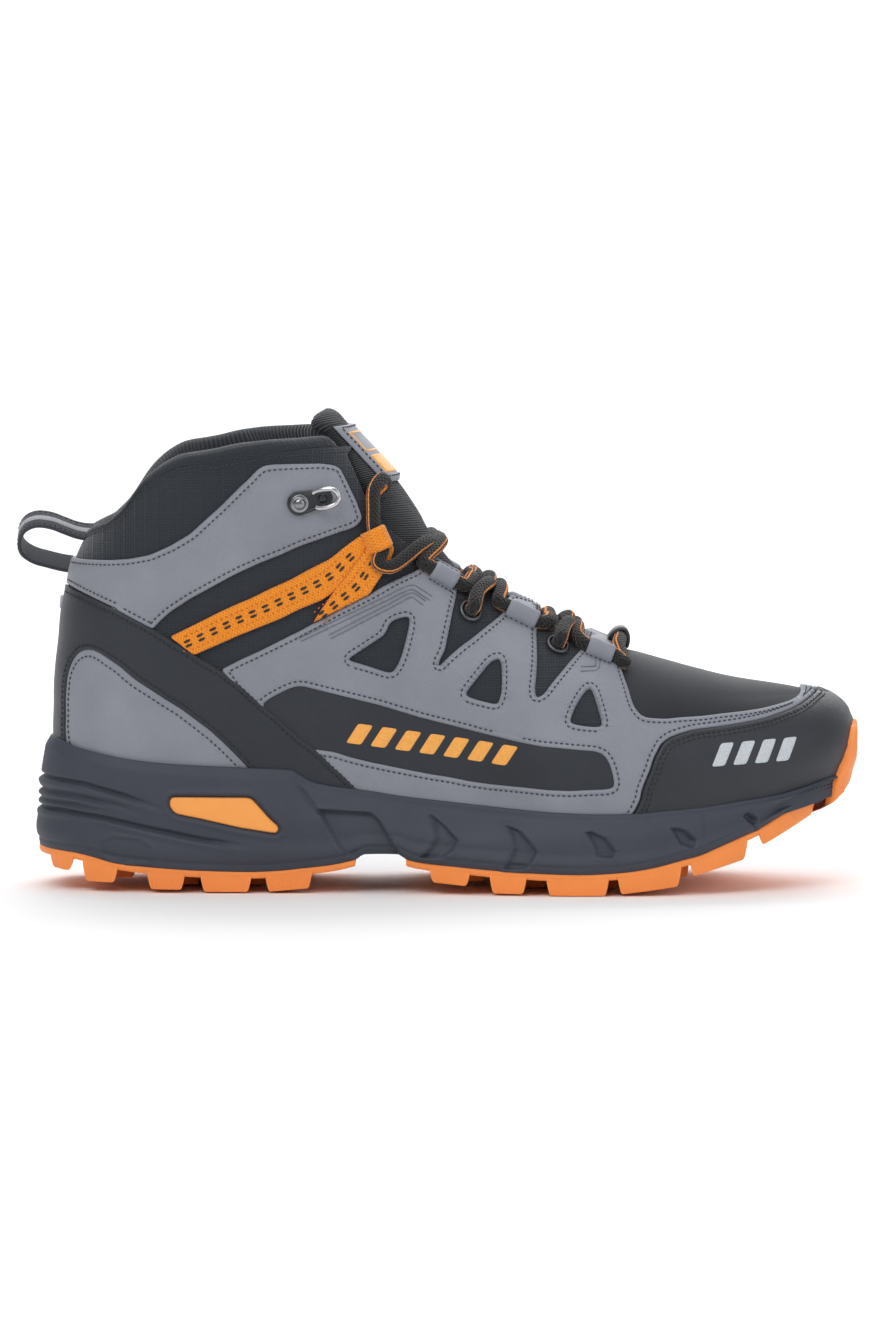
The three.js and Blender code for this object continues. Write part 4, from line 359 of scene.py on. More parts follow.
GREY = synthetic("synthetic_grey", srgb(133, 136, 145)); BLACK = synthetic("synthetic_black", srgb(38, 42, 49), .46, 1200., .5)
CAPM = synthetic("toe_cap_black", srgb(42, 45, 51), .42, 1100., .5); NAVY = ripstop("textile_navy", srgb(44, 49, 56), .035); VAMP = softshell("vamp_softshell", srgb(44, 46, 51)); KNIT = rib("lining_knit", srgb(55, 60, 66)); TKNIT = rib("tongue_knit", srgb(46, 50, 56), 330., 'Y')
TONGUE_M = rib("tongue_textile", srgb(42, 46, 52), 330., 'Y'); FOAM = foam("midsole_foam", srgb(60, 64, 74)); RUB = rubber("outsole_rubber", srgb(255, 146, 70)); INS = rubber("insert_orange", srgb(255, 166, 82), .38)
WEB = webbing("webbing_orange", srgb(255, 148, 34)); CORD = braid("lace_cord", srgb(36, 34, 34), srgb(250, 150, 60)); TIP = plain("lace_tip", srgb(26, 26, 28), .3)
EYE = metal("eyelet_metal", srgb(96, 97, 100), .34); RIVM = metal("rivet_metal", srgb(150, 151, 154), .24); HOOKM = metal("hook_plate_metal", srgb(74, 75, 78), .34); BRIGHT = metal("hook_bright_metal", srgb(205, 205, 208), .2); LOOPM = webbing("loop_webbing", srgb(58, 61, 68)); STRIPE = webbing("loop_stripe", srgb(170, 172, 178))
TAG = plain("tag_grey", srgb(176, 178, 184), .55); ST_D = plain("thread_dark", srgb(52, 54, 60), .7, 2500.); ST_B = plain("thread_black", srgb(34, 35, 38), .65, 2500.); ST_G = plain("thread_grey", srgb(120, 122, 128), .7, 2500.); ST_O = plain("thread_orange", srgb(205, 100, 22), .7, 2500.)
PRINT_O = plain("print_orange", srgb(248, 170, 78), .45, 1500.); PRINT_S = plain("print_silver", srgb(190, 195, 200), .4, 1500.); FOOT = rib("footbed_textile", srgb(44, 47, 53), 230.)
BOARD = plain("board", srgb(138, 122, 98), .85); STIFF = plain("stiffener", srgb(190, 184, 166), .8)

# ------------------------------------------------------------------ helpers on the surface
def side_point(x, z, s, off=0.0):
    x = A(x); z = A(z); w = width(x, z); e = .5
    wx = (width(x + e, z) - width(x - e, z)) / (2 * e); wz = (width(x, z + e) - width(x, z - e)) / (2 * e)
    n = unit(np.stack([-wx, np.full_like(wx, s), -wz], -1)); p = np.stack([x, ycen(x) + s * w, z], -1)
    return p + n * off
def side_normal(x, z, s): return unit(side_point(x, z, s, 1.) - side_point(x, z, s, 0.))
def arch_frame(x, z, s, d):
    n = side_normal(x, z, s); c = side_point(x, z, s)
    u = unit(side_point(x + d[0] * 3, z + d[1] * 3, s) - side_point(x - d[0] * 3, z - d[1] * 3, s)); return dict(c=c, n=n, u=u, w=np.cross(n, u))
def ridge(l, y, off):
    def f(l2, y2):
        e = .5; t = unit(A([frontx(l2 + e) - frontx(l2 - e), 0, frontz(l2 + e) - frontz(l2 - e)])); n = A([t[2], 0, -t[0]]); Fp = A([frontx(l2), 0, frontz(l2)]); a, b = 0., 45.
        for _ in range(24):
            c = (a + b) / 2; q = Fp - n * c
            if width(q[0], q[2]) < abs(y2 - ycen(q[0])): a = c
            else: b = c
        q = Fp - n * a; q[1] = y2; return q
    e = .7; p = f(l, y); n = unit(np.cross(f(l, y + e) - f(l, y - e), f(l + e, y) - f(l - e, y)))
    if n[0] + n[2] < 0: n = -n
    return p + n * off
def ridge_coords(x, z, s):
    l = np.arange(40, S_TOP, .5); d = np.hypot(frontx(l) - x, frontz(l) - z); return l[d.argmin()], ycen(x) + s * width(x, z)
def catmull(pts, n, closed=False):
    """centripetal spline resampled to n evenly spaced points"""
    p = A(pts); p = np.vstack([p[-1], p, p[:2]]) if closed else np.vstack([2 * p[0] - p[1], p, 2 * p[-1] - p[-2]]); out = []
    for i in range(len(p) - 3):
        a, b, c, d = p[i:i + 4]; t0 = 0; t1 = t0 + max(np.linalg.norm(b - a), 1e-6) ** .5; t2 = t1 + max(np.linalg.norm(c - b), 1e-6) ** .5; t3 = t2 + max(np.linalg.norm(d - c), 1e-6) ** .5
        t = np.linspace(t1, t2, 14)[:-1, None]; A1 = (t1 - t) / (t1 - t0) * a + (t - t0) / (t1 - t0) * b; A2 = (t2 - t) / (t2 - t1) * b + (t - t1) / (t2 - t1) * c; A3 = (t3 - t) / (t3 - t2) * c + (t - t2) / (t3 - t2) * d
        B1 = (t2 - t) / (t2 - t0) * A1 + (t - t0) / (t2 - t0) * A2; B2 = (t3 - t) / (t3 - t1) * A2 + (t - t1) / (t3 - t1) * A3; out.append((t2 - t) / (t2 - t1) * B1 + (t - t1) / (t2 - t1) * B2)
    q = np.vstack(out + [p[-2][None]]); s = np.r_[0, np.cumsum(np.linalg.norm(np.diff(q, axis=0), axis=1))]; u = np.linspace(0, s[-1], n)
    return np.stack([np.interp(u, s, q[:, k]) for k in range(q.shape[1])], -1)
def sweep(name, path, sec, mats, up=None, ends=True, scale=None, uvscale=None, midx=None):
    """sec: closed list of (a, b) in the (side, up) frame; up: one vector or one per point"""
    p = A(path); n = len(p); T = unit(np.gradient(p, axis=0)); U = np.zeros_like(p)
    if up is None:
        u = unit(np.cross(T[0], [0.3, .2, .9])); 
        for i in range(n): u = unit(u - T[i] * (u @ T[i])); U[i] = u
    else:
        up = A(up); U = unit((np.tile(up, (n, 1)) if up.ndim == 1 else up)); U = unit(U - T * (U * T).sum(1)[:, None])
    S = np.cross(T, U); k = len(sec); sec = A(sec); sc = np.ones(n) if scale is None else A(scale)
    V = (p[:, None] + S[:, None] * sec[None, :, 0:1] * sc[:, None, None] + U[:, None] * sec[None, :, 1:2] * sc[:, None, None])
    Fs = [tuple(f) for f in grid_faces(n, k, wrap=True)]; s = np.r_[0, np.cumsum(np.linalg.norm(np.diff(p, axis=0), axis=1))]
    per = np.r_[0, np.cumsum(np.linalg.norm(np.diff(np.vstack([sec, sec[:1]]), axis=0), axis=1))][:-1]
    uv = np.stack(np.broadcast_arrays(s[:, None] / 1000, (per / 1000 if uvscale is None else per / per.max() * uvscale)[None]), -1).reshape(-1, 2)
    V = V.reshape(-1, 3)
    if ends: Fs += [tuple(range(k))[::-1], tuple((n - 1) * k + i for i in range(k))]
    vol = 0
    f0 = A(Fs[:(n - 1) * k]).astype(int); a = V[f0[:, 0]]; vol = np.einsum('ij,ij->i', a - p[f0[:, 0] // k], np.cross(V[f0[:, 1]] - a, V[f0[:, 2]] - a)).sum()
    if vol < 0: Fs = [f[::-1] for f in Fs]
    return mesh(name, V, Fs, mats, uv=uv, midx=midx)
def roundrect(a, b, r, k=3):
    r = min(r, a, b) ; out = []
    for cx, cy, q in ((a - r, b - r, 0), (-a + r, b - r, 1), (-a + r, -b + r, 2), (a - r, -b + r, 3)):
        for i in range(k + 1): t = math.pi / 2 * (q + i / k); out.append((cx + r * math.cos(t), cy + r * math.sin(t)))
    return out
def circ(r, k=14, e=1.): return [(r * math.cos(2 * math.pi * i / k), r * e * math.sin(2 * math.pi * i / k)) for i in range(k)]
def revolve(name, prof, c, n, mat, k=36):
    n = unit(A(n)); u = unit(np.cross(n, [0.1, .3, .9])); w = np.cross(n, u); pr = A(prof); a = np.arange(k) * 2 * np.pi / k
    V = c + (np.cos(a)[None, :, None] * u + np.sin(a)[None, :, None] * w) * pr[:, 0][:, None, None] + n * pr[:, 1][:, None, None]
    o = mesh(name, V.reshape(-1, 3), grid_faces(len(pr), k, wrap=True), mat)
    import bmesh
    bm = bmesh.new(); bm.from_mesh(o.data); bmesh.ops.remove_doubles(bm, verts=bm.verts, dist=1e-6); bmesh.ops.recalc_face_normals(bm, faces=bm.faces); bm.to_mesh(o.data); bm.free(); return o
def sub(o, lv=1):
    m = o.modifiers.new("sub", 'SUBSURF'); m.levels = lv; m.render_levels = lv; return o
def bev(o, w, seg=2):
    m = o.modifiers.new("bevel", 'BEVEL'); m.width = w / 1000.; m.segments = seg; m.limit_method = 'ANGLE'; m.angle_limit = math.radians(38); m.harden_normals = False; return o
DONE = []
def put(o, body, *nodes):
    if o is None: return None
    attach(o, body)
    if nodes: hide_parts(*nodes)
    DONE.append(o); return o

# border cleaning: points beyond the silhouette are brought to the heel or front line
FL = np.linspace(0, S_TOP + 9, 1600); FXL, FZL = frontx(FL), frontz(FL); VL = np.linspace(-.05, 1.055, 1200); ARCL = frontarc(VL)
def to_tv(poly, side, step=.9):
    q = densify(poly, step); x, z = q[:, 0].copy(), q[:, 1].copy()
    z = np.maximum(z, zfeath(np.clip(x, -141.5, 148.9)) - 2.5)
    xb = xback(np.clip(z, 28, 182)); heel = x <= xb + .15; x = np.maximum(x, xb)
    xt = np.where(z < 70.5, xtoe_(np.clip(z, 20, 70.4)), 1e3); zr = np.where(x > -39, zridge(np.clip(x, -39.6, 151.6)), 1e3)
    fr = ((x >= xt - .12) | ((z >= zr - .12) & (x > -33))); x = np.minimum(x, xt); z = np.where(x > -39, np.minimum(z, zr), z)
    th, v = inv(x, z, -1)
    th = np.where(heel, 0., th); v = np.where(heel, (z - 33) / 98.7, v)
    if fr.any():
        d = (FXL[None] - x[fr, None]) ** 2 + (FZL[None] - z[fr, None]) ** 2; arc = FL[d.argmin(1)]; th[fr] = np.pi; v[fr] = np.interp(arc, ARCL, VL)
    v = np.clip(v, -.035, 1.05); r = np.c_[th, v]; d = np.linalg.norm((r - np.roll(r, 1, 0)) * DOM, axis=1); r = r[d > .18]
    if side > 0: r = np.c_[2 * np.pi - r[:, 0], r[:, 1]]
    return r
def on_seam(th): return (np.abs(np.sin(th)) < 1e-6)
def patch(name, outlines, side, mats, base=.3, t=1.1, step=1.7, edge=.75, groove=None, skirt=.8, height=None, raw=None, uvf=None):
    loops = raw if raw is not None else [to_tv(o, side) for o in outlines]
    L3 = [P(l[:, 0], l[:, 1]) for l in loops]; allb = np.vstack(L3); allth = np.concatenate([l[:, 0] for l in loops])
    kda = kd_of(allb); clo = allb[~on_seam(allth)]; kdb = kd_of(clo if len(clo) else allb)
    polys = [l * DOM for l in loops]; rows = []
    def inpoly(q):
        r = inside(q, polys[0])
        for h in polys[1:]: r &= ~inside(q, h)
        return r
    ar = lambda p: .5 * np.sum(p[:, 0] * np.roll(p[:, 1], -1) - np.roll(p[:, 0], -1) * p[:, 1])
    for li, l in enumerate(loops):
        J1, J2, N = frame_at(l[:, 0], l[:, 1]); T = unit(np.roll(L3[li], -1, 0) - np.roll(L3[li], 1, 0)); inn = np.cross(N, T) * (1 if (ar(l * DOM) > 0) == (li == 0) else -1)
        g11 = (J1 * J1).sum(1); g12 = (J1 * J2).sum(1); g22 = (J2 * J2).sum(1); b1 = (J1 * inn).sum(1); b2 = (J2 * inn).sum(1); det = np.maximum(g11 * g22 - g12 ** 2, 1e-3)
        D = np.c_[(g22 * b1 - g12 * b2) / det, (g11 * b2 - g12 * b1) / det]
        for dd, st in ((edge * .25, 1), (edge * .7, 1), (edge * 1.5, 2)) + (((groove - .4, 2), (groove, 2), (groove + .45, 2)) if groove else ()):
            sel = ~on_seam(l[:, 0]); q = (l + D * dd)[sel][::st]
            if len(q):
                k = kd_dist(kda, P(q[:, 0], q[:, 1])) > dd * .85; rows.append((q * DOM)[k])
    th0, th1 = loops[0][:, 0].min(), loops[0][:, 0].max(); v0, v1 = loops[0][:, 1].min(), loops[0][:, 1].max()
    nt = max(4, int((th1 - th0) * 98 / step)); nv = max(4, int((v1 - v0) * 165 / step)); TH, VV = np.meshgrid(np.linspace(th0, th1, nt), np.linspace(v0, v1, nv)); TH = TH + ((np.arange(nv) % 2) * .5 * (th1 - th0) / nt)[:, None]
    st = np.c_[TH.ravel(), VV.ravel()]; st = st[inpoly(st * DOM)]; p3 = P(st[:, 0], st[:, 1]); ka = kd_dist(kda, p3) > .8; kb = kd_dist(kdb, p3) > (groove + 1.0 if groove else edge * 1.5 + .5); st = st[ka & kb]
    inner = np.vstack([r for r in rows if len(r)] + [st * DOM]); inner = inner[inpoly(inner)]
    verts = np.vstack(polys + [inner]); edges = []; o = 0
    for p in polys: edges += [(o + i, o + (i + 1) % len(p)) for i in range(len(p))]; o += len(p)
    vc, _, fc, _, _, _ = delaunay_2d_cdt([Vector(p) for p in verts], edges, [], 0, 1e-5); vc = A(vc)[:, :2]; fc = A([f for f in fc if len(f) == 3]).astype(int); fc = fc[inpoly(vc[fc].mean(1))]
    used = np.unique(fc); mp = -np.ones(len(vc), int); mp[used] = np.arange(len(used)); vc = vc[used]; fc = mp[fc]; TV = vc / DOM
    for c0 in (0, np.pi, 2 * np.pi): TV[np.abs(TV[:, 0] - c0) < 2e-4, 0] = c0
    p3 = P(TV[:, 0], TV[:, 1]); d = kd_dist(kdb, p3)
    h = base + (t * np.sqrt(np.maximum(0, 1 - (1 - np.minimum(d / edge, 1)) ** 2)) if t else 0)
    if groove: h = h - .2 * np.exp(-((d - groove) / .32) ** 2)
    if height is not None: h = h + height(p3, d)
    pos = surf(TV[:, 0], TV[:, 1], h)
    ee = {(f[i], f[(i + 1) % 3]) for f in fc for i in range(3)}; seam = on_seam(TV[:, 0])
    bd = [(a, b) for (a, b) in ee if (b, a) not in ee and not (seam[a] and seam[b])]
    bi = sorted({i for ab in bd for i in ab}); m2 = {b: len(pos) + i for i, b in enumerate(bi)}; low = surf(TV[bi, 0], TV[bi, 1], base - skirt)
    faces = [tuple(f) for f in fc] + [(b, a, m2[a], m2[b]) for a, b in bd]; pos = np.vstack([pos, low]); p3a = np.vstack([p3, p3[bi]])
    f0 = fc[::max(1, len(fc) // 300)]; n = np.cross(pos[f0[:, 1]] - pos[f0[:, 0]], pos[f0[:, 2]] - pos[f0[:, 0]]); ref = frame_at(TV[f0[:, 0], 0], TV[f0[:, 0], 1])[2]
    if (n * ref).sum() < 0: faces = [f[::-1] for f in faces]
    return mesh(name, pos, faces, mats, uv=(uvf or side_uv)(p3a) / 1000.)
def seam_rows(outlines, side, inset, top, pitch=2.0, raw=None, skip=None):
    loops = raw if raw is not None else [to_tv(o, side, .6) for o in outlines]; L3 = [P(l[:, 0], l[:, 1]) for l in loops]; allb = np.vstack(L3); ath = np.concatenate([l[:, 0] for l in loops]); kd = kd_of(allb[~on_seam(ath)]); R = []
    for i, l in enumerate(loops):
        a = l * DOM; area = .5 * np.sum(a[:, 0] * np.roll(a[:, 1], -1) - np.roll(a[:, 0], -1) * a[:, 1]); J1, J2, N = frame_at(l[:, 0], l[:, 1]); T = unit(np.roll(L3[i], -1, 0) - np.roll(L3[i], 1, 0)); inn = np.cross(N, T) * (1 if (area > 0) == (i == 0) else -1)
        g11 = (J1 * J1).sum(1); g12 = (J1 * J2).sum(1); g22 = (J2 * J2).sum(1); b1 = (J1 * inn).sum(1); b2 = (J2 * inn).sum(1); det = np.maximum(g11 * g22 - g12 ** 2, 1e-3)
        q = l + np.c_[(g22 * b1 - g12 * b2) / det, (g11 * b2 - g12 * b1) / det] * inset; flat = P(q[:, 0], q[:, 1]); keep = (kd_dist(kd, flat) > inset * .93) & ~on_seam(l[:, 0]) & (q[:, 1] > -.03)
        p = surf(q[:, 0], q[:, 1], top); n = frame_at(q[:, 0], q[:, 1])[2]
        if skip is not None: keep &= ~skip(p)
        k0 = int(np.argmin(keep)) if not keep.all() else 0; order = np.roll(np.arange(len(l)), -k0); run = []
        for j in list(order) + [None]:
            if j is not None and keep[j] and (not run or np.linalg.norm(p[j] - p[run[-1]]) < 4): run.append(j); continue
            if len(run) > 4:
                c = p[run]; s = np.r_[0, np.cumsum(np.linalg.norm(np.diff(c, axis=0), axis=1))]; t = np.arange(pitch / 2, s[-1], pitch)
                if len(t):
                    f = lambda arr, tt: np.stack([np.interp(tt, s, arr[:, k]) for k in range(3)], -1); R.append((f(c, t), unit(f(c, t + .3) - f(c, t - .3) + 1e-9), unit(f(n[run], t))))
            run = [j] if (j is not None and keep[j]) else []
    return R
def stitch_obj(name, rows, mat, length=1.25, rad=.27, lift=.08):
    if not rows: return None
    return put(capsules(name, *[np.vstack([r[i] for r in rows]) for i in range(3)], mat, length, rad, lift), "boot")
def tv_line(pts, side, step=.5):
    d = densify(pts, step, closed=False); th, v = inv(d[:, 0], d[:, 1], side); return th, v
def line_rows(pts, side, top, pitch=2.0):
    th, v = tv_line(pts, side); p = surf(th, v, top); n = frame_at(th, v)[2]; s = np.r_[0, np.cumsum(np.linalg.norm(np.diff(p, axis=0), axis=1))]; t = np.arange(pitch / 2, s[-1], pitch); f = lambda arr, tt: np.stack([np.interp(tt, s, arr[:, k]) for k in range(3)], -1)
    return [(f(p, t), unit(f(p, t + .3) - f(p, t - .3) + 1e-9), unit(f(n, t)))]

GROOVES = [[[[-143.7, 40.4], [-130.6, 39.3], [-116.0, 35.6], [-99.7, 30.2]], 0.8], [[[-144.4, 35.6], [-134.2, 34.9], [-119.7, 32.4], [-108.8, 29.1]], 0.55], [[[-144.4, 32.4], [-134.2, 31.6], [-116.1, 28.7]], 0.5], [[[-143.7, 29.1], [-137.9, 29.1], [-123.3, 27.2], [-108.8, 24.0], [-87.0, 19.6], [-68.8, 17.0]], 0.8], [[[-54.2, 43.7], [-50.6, 38.2], [-46.9, 32.7], [-44.0, 29.1]], 0.9], [[[95.7, 38.2], [97.2, 19.9]], 0.3]]
RECESS = [[[[-123.3, 17.8], [-119.0, 20.0], [-108.8, 18.9], [-105.1, 16.0], [-106.6, 12.0], [-116.1, 10.9], [-122.6, 13.5]], 0.9], [[[-44.0, 30.3], [-25.1, 29.2], [-22.2, 26.6], [-14.9, 14.6], [-28.7, 13.5], [-32.4, 14.2], [-36.0, 17.1]], 1.5], [[[-3.3, 28.8], [-1.8, 25.1], [-0.7, 20.8], [-3.3, 16.4], [-6.9, 13.5], [1.1, 13.8], [4.7, 16.4], [6.6, 19.7], [2.2, 24.4], [-3.3, 28.8]], 1.1], [[[24.7, 25.1], [26.9, 20.8], [27.7, 17.1], [25.1, 12.0], [23.7, 9.8], [30.2, 9.8], [33.1, 12.0], [35.3, 16.0], [33.1, 18.9], [29.5, 23.0], [24.7, 25.1]], 1.1], [[[53.8, 23.0], [56.8, 18.2], [57.5, 14.6], [63.0, 14.2], [63.7, 16.4], [60.4, 20.8], [54.9, 23.3]], 1.1], [[[84.8, 24.4], [87.0, 20.8], [88.0, 18.9], [92.8, 17.1], [93.1, 20.0], [89.5, 23.3], [85.9, 24.4]], 1.1], [[[111.3, 28.4], [113.1, 26.2], [114.6, 25.1], [115.7, 23.7], [116.0, 26.6], [112.4, 29.2]], 1.1]]
EMBOSS = [[[-50.7, 92.2], [-14.2, 109.7], [-9.8, 111.2], [-3.3, 106.8]], [[-39.8, 93.2], [-10.2, 108.6], [-5.5, 105.3]], [[51.5, 80.4], [57.7, 80.4], [57.7, 83.0]]]
LABEL_RECT = [[-36.8, 165.2], [-31.6, 169.6], [-12.5, 150.1], [-17.3, 144.9]]
LABEL_A = [[-32.0, 164.0], [-29.1, 166.3], [-21.7, 159.6], [-25.0, 157.1]]
LABEL_B = [[-24.7, 156.7], [-21.3, 159.3], [-15.1, 153.0], [-17.7, 149.3]]

# ------------------------------------------------------------------ camera, light, floor
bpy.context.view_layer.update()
def grow(poly, d):
    p = densify(rounded(poly, .6, 1), 1.5); a = .5 * np.sum(p[:, 0] * np.roll(p[:, 1], -1) - np.roll(p[:, 0], -1) * p[:, 1]); t = unit(np.roll(p, -1, 0) - np.roll(p, 1, 0)); n = np.c_[t[:, 1], -t[:, 0]] * (1 if a > 0 else -1); return p + n * d
el = math.radians(4.0); T0 = Vector((-0.00005, 0.00049, 0.08214)); D0 = 2.6
cam = bpy.data.cameras.new("camera"); co = bpy.data.objects.new("camera", cam); bpy.context.scene.collection.objects.link(co)
co.location = T0 + Vector((0, -math.cos(el), math.sin(el))) * D0; co.rotation_euler = (math.radians(90) - el, 0, 0); cam.sensor_fit = 'AUTO'; cam.sensor_width = 36; cam.lens = 36 * D0 / .48877; cam.clip_start = .05; cam.clip_end = 50
bpy.context.scene.camera = co
bpy.context.scene.view_settings.view_transform = "Standard"
w = bpy.data.worlds.new("world"); bpy.context.scene.world = w; w.use_nodes = True; w.node_tree.nodes["Background"].inputs[0].default_value = (.93, .95, 1., 1); w.node_tree.nodes["Background"].inputs[1].default_value = .33
def area(name, loc, target, size, power, col=(1, 1, 1)):
    l = bpy.data.lights.new(name, 'AREA'); l.shape = 'RECTANGLE'; l.size = size[0]; l.size_y = size[1]; l.energy = power; l.color = col; o = bpy.data.objects.new(name, l); bpy.context.scene.collection.objects.link(o); o.location = loc
    o.rotation_euler = (Vector(target) - Vector(loc)).to_track_quat('-Z', 'Y').to_euler(); return o
area("key", (-.55, -1.15, 1.25), (0, 0, .08), (1.3, 1.0), 13.5, (1., .985, .96)); area("fill", (1.25, -1.0, .65), (0, 0, .08), (1.0, 1.0), 4.6, (.95, .97, 1.)); area("top", (.1, .1, 1.6), (0, 0, .08), (1.4, 1.0), 8); area("rim", (.2, 1.4, .8), (0, 0, .1), (1.4, .8), 7); area("backdrop", (0, 2.3, 3.0), (0, 3.5, .7), (3.6, 1.6), 92)
fm = Mat("floor", (.86, .86, .86, 1), .75); fn = fm.noise(6., 3.); fm.color(fm.ramp(fn, (.3, (.90, .90, .905, 1)), (.7, (.93, .93, .93, 1))))
yy = [(-6, 0.)] + [(3.1 + 1.1 * math.sin(a), 1.1 - 1.1 * math.cos(a)) for a in np.linspace(0, math.pi / 2, 14)] + [(4.2, 5.)]
fmesh = bpy.data.meshes.new("floor"); fmesh.from_pydata([(x, y, z - .0002) for y, z in yy for x in (-6, 6)], [], [(2 * i, 2 * i + 1, 2 * i + 3, 2 * i + 2) for i in range(len(yy) - 1)]); fmesh.materials.append(fm.m); fmesh.polygons.foreach_set("use_smooth", [True] * len(fmesh.polygons))
floor = bpy.data.objects.new("floor", fmesh); bpy.context.scene.collection.objects.link(floor)

O = OUT
# ------------------------------------------------------------------ textile upper, lining
THROAT_V = [p for p in O["throat"]]
def shell_loop(v0, v1, d=0., front=.86):
    th_, v_ = inv(densify(THROAT_V, 1.0, False)[:, 0], densify(THROAT_V, 1.0, False)[:, 1] - d, -1)
    arc = FL[((FXL - 69.8) ** 2 + (FZL - (zridge(69.8) - d)) ** 2).argmin()]; vt = float(np.interp(arc, ARCL, VL)) - d / 165.
    bottom = np.c_[np.linspace(0, np.pi, 260), np.full(260, v0)]; up = np.c_[np.full(50, np.pi), np.linspace(v0, vt, 50)][1:]
    thr = np.c_[th_, v_][::-1]; e = thr[-1]; ex = np.c_[np.linspace(e[0], front * np.pi, 10), np.linspace(e[1], v1, 10)][1:]
    top = np.c_[np.linspace(front * np.pi, 0, 200), np.full(200, v1)][1:]; dn = np.c_[np.zeros(110), np.linspace(v1, v0, 110)][1:-1]
    L = np.vstack([bottom, up, thr, ex, top, dn]); k = np.linalg.norm((L - np.roll(L, 1, 0)) * DOM, axis=1) > .12; return L[k]
def mirror(l): return np.c_[2 * np.pi - l[:, 0], l[:, 1]]
LP = shell_loop(-.03, .964)
up_l = patch("upper_textile", None, -1, NAVY, base=0, t=0, step=1.8, edge=.5, skirt=1.3, raw=[LP], uvf=top_uv); up_m = patch("upper_textile_m", None, 1, NAVY, base=0, t=0, step=1.8, edge=.5, skirt=1.3, raw=[mirror(LP)], uvf=top_uv)
up = weld([up_l, up_m], "upper_textile"); up.data.materials.append(VAMP); cn = np.empty(len(up.data.polygons) * 3); up.data.polygons.foreach_get("center", cn); up.data.polygons.foreach_set("material_index", (cn.reshape(-1, 3)[:, 0] > .064).astype(int))
put(up, "boot", "quarter_lateral", "quarter_medial", "vamp")
LL = shell_loop(.0, .93, 3.0)
ln_l = patch("lining_fabric", None, -1, KNIT, base=-4.3, t=0, step=3., edge=.5, skirt=-.9, raw=[LL], uvf=top_uv); ln_m = patch("lining_m", None, 1, KNIT, base=-4.3, t=0, step=3., edge=.5, skirt=-.9, raw=[mirror(LL)], uvf=top_uv)
put(weld([ln_l, ln_m], "lining_fabric"), "boot", "lining")

# ------------------------------------------------------------------ overlays
HX = -165
ST = O["strap_top"]; SL = O["strap_low"]; CT = O["cage_toe"]
STRAP = [[HX, 112.2]] + ST + [[-27.2, 31.5], [-40, 33.5], [-68, 39]] + SL[:-1] + [[-136.4, 50], [HX, 50.5]]
BAND = O["ankle_band"][1:-3] + [[-116.5, 102.8], [-135.1, 110.6], [HX, 113.], [HX, 119.6]]
back_edge = [[p[0] - 1.6, p[1] - 1.6] for p in ST[::-1] if -79 < p[0] < -27]
CAGE = O["cage"] + [[133.8, 90], [140., 90]] + CT + [[69.5, 24.5], [44, 24.], [29.5, 25.2], [-14.2, 29.], [-26.4, 29.]] + back_edge
TOECAP = [[p[0] + .35, p[1] - .05] for p in CT] + [[70.3, 20], [110, 14], [170, 14], [170, 100], [140.9, 100]]
HEELP = SL[1:-1] + [[-135, 48.6], [-127.7, 46], [-116.5, 44], [-98.2, 42], [-69, 40.6], [-70.2, 46]]
emb = [densify(p, .8, False) for p in EMBOSS]
def cage_h(p3, d):
    h = np.zeros(len(p3))
    for e in emb:
        for off in (-.9, .9):
            dd = np.full(len(p3), 9.)
            m = (p3[:, 0] > e[:, 0].min() - 4) & (p3[:, 0] < e[:, 0].max() + 4) & (p3[:, 2] > e[:, 1].min() - 4) & (p3[:, 2] < e[:, 1].max() + 4)
            if m.any():
                q = p3[m][:, [0, 2]]; dist = np.sqrt(((q[:, None] - e[None]) ** 2).sum(-1)).min(1); dd[m] = np.abs(dist - .9)
            h -= .14 * np.exp(-(dd / .4) ** 2)
    return h
def pair(name, outlines, mat, stm, base, t, body_nodes, groove=1.9, step=1.7, wrap=False, height=None, inset2=None, edge=.75, rows=True, skip=None):
    obs = []
    for s in (-1, 1):
        obs.append(patch(name + ("_lateral" if s < 0 else "_medial"), outlines, s, mat, base=base, t=t, step=step, groove=groove, height=height, edge=edge))
        if rows:
            R = seam_rows(outlines, s, groove, base + t, skip=skip)
            if inset2: R += seam_rows(outlines, s, inset2, base + t, skip=skip)
            stitch_obj("stitch_" + name + ("_lateral" if s < 0 else "_medial"), R, stm)
    if wrap: return [put(weld(obs, name), "boot", *body_nodes)]
    return [put(o, "boot", n) for o, n in zip(obs, body_nodes)]
W = [rounded(O[k], 1.1, 2) for k in ("w1", "w2", "w3")]
pair("cage", [rounded(CAGE, .8, 1), *W, rounded(O["side_panel"], .9, 1)], GREY, ST_D, .3, 1.15, ["cage_lateral", "cage_medial"], wrap=True, height=cage_h)
pair("side_panel", [grow(O["side_panel"], 1.3)], BLACK, ST_B, .02, .75, ["side_panel_lateral", "side_panel_medial"], rows=False, groove=None)
pair("ankle_band", [rounded(BAND, .8, 1)], GREY, ST_D, .25, 1.1, ["ankle_band_lateral", "ankle_band_medial"], wrap=True)
pair("heel_panel", [grow(HEELP, .8)], GREY, ST_D, .1, .95, ["heel_panel_lateral", "heel_panel_medial"], groove=3.2)
pair("heel_strap", [rounded(STRAP, .8, 1)], BLACK, ST_B, .35, 1.35, ["heel_strap"], wrap=True)
pair("toe_cap", [rounded(TOECAP, .7, 1)], CAPM, ST_B, .35, 1.3, ["toe_cap"], wrap=True, inset2=3.3)

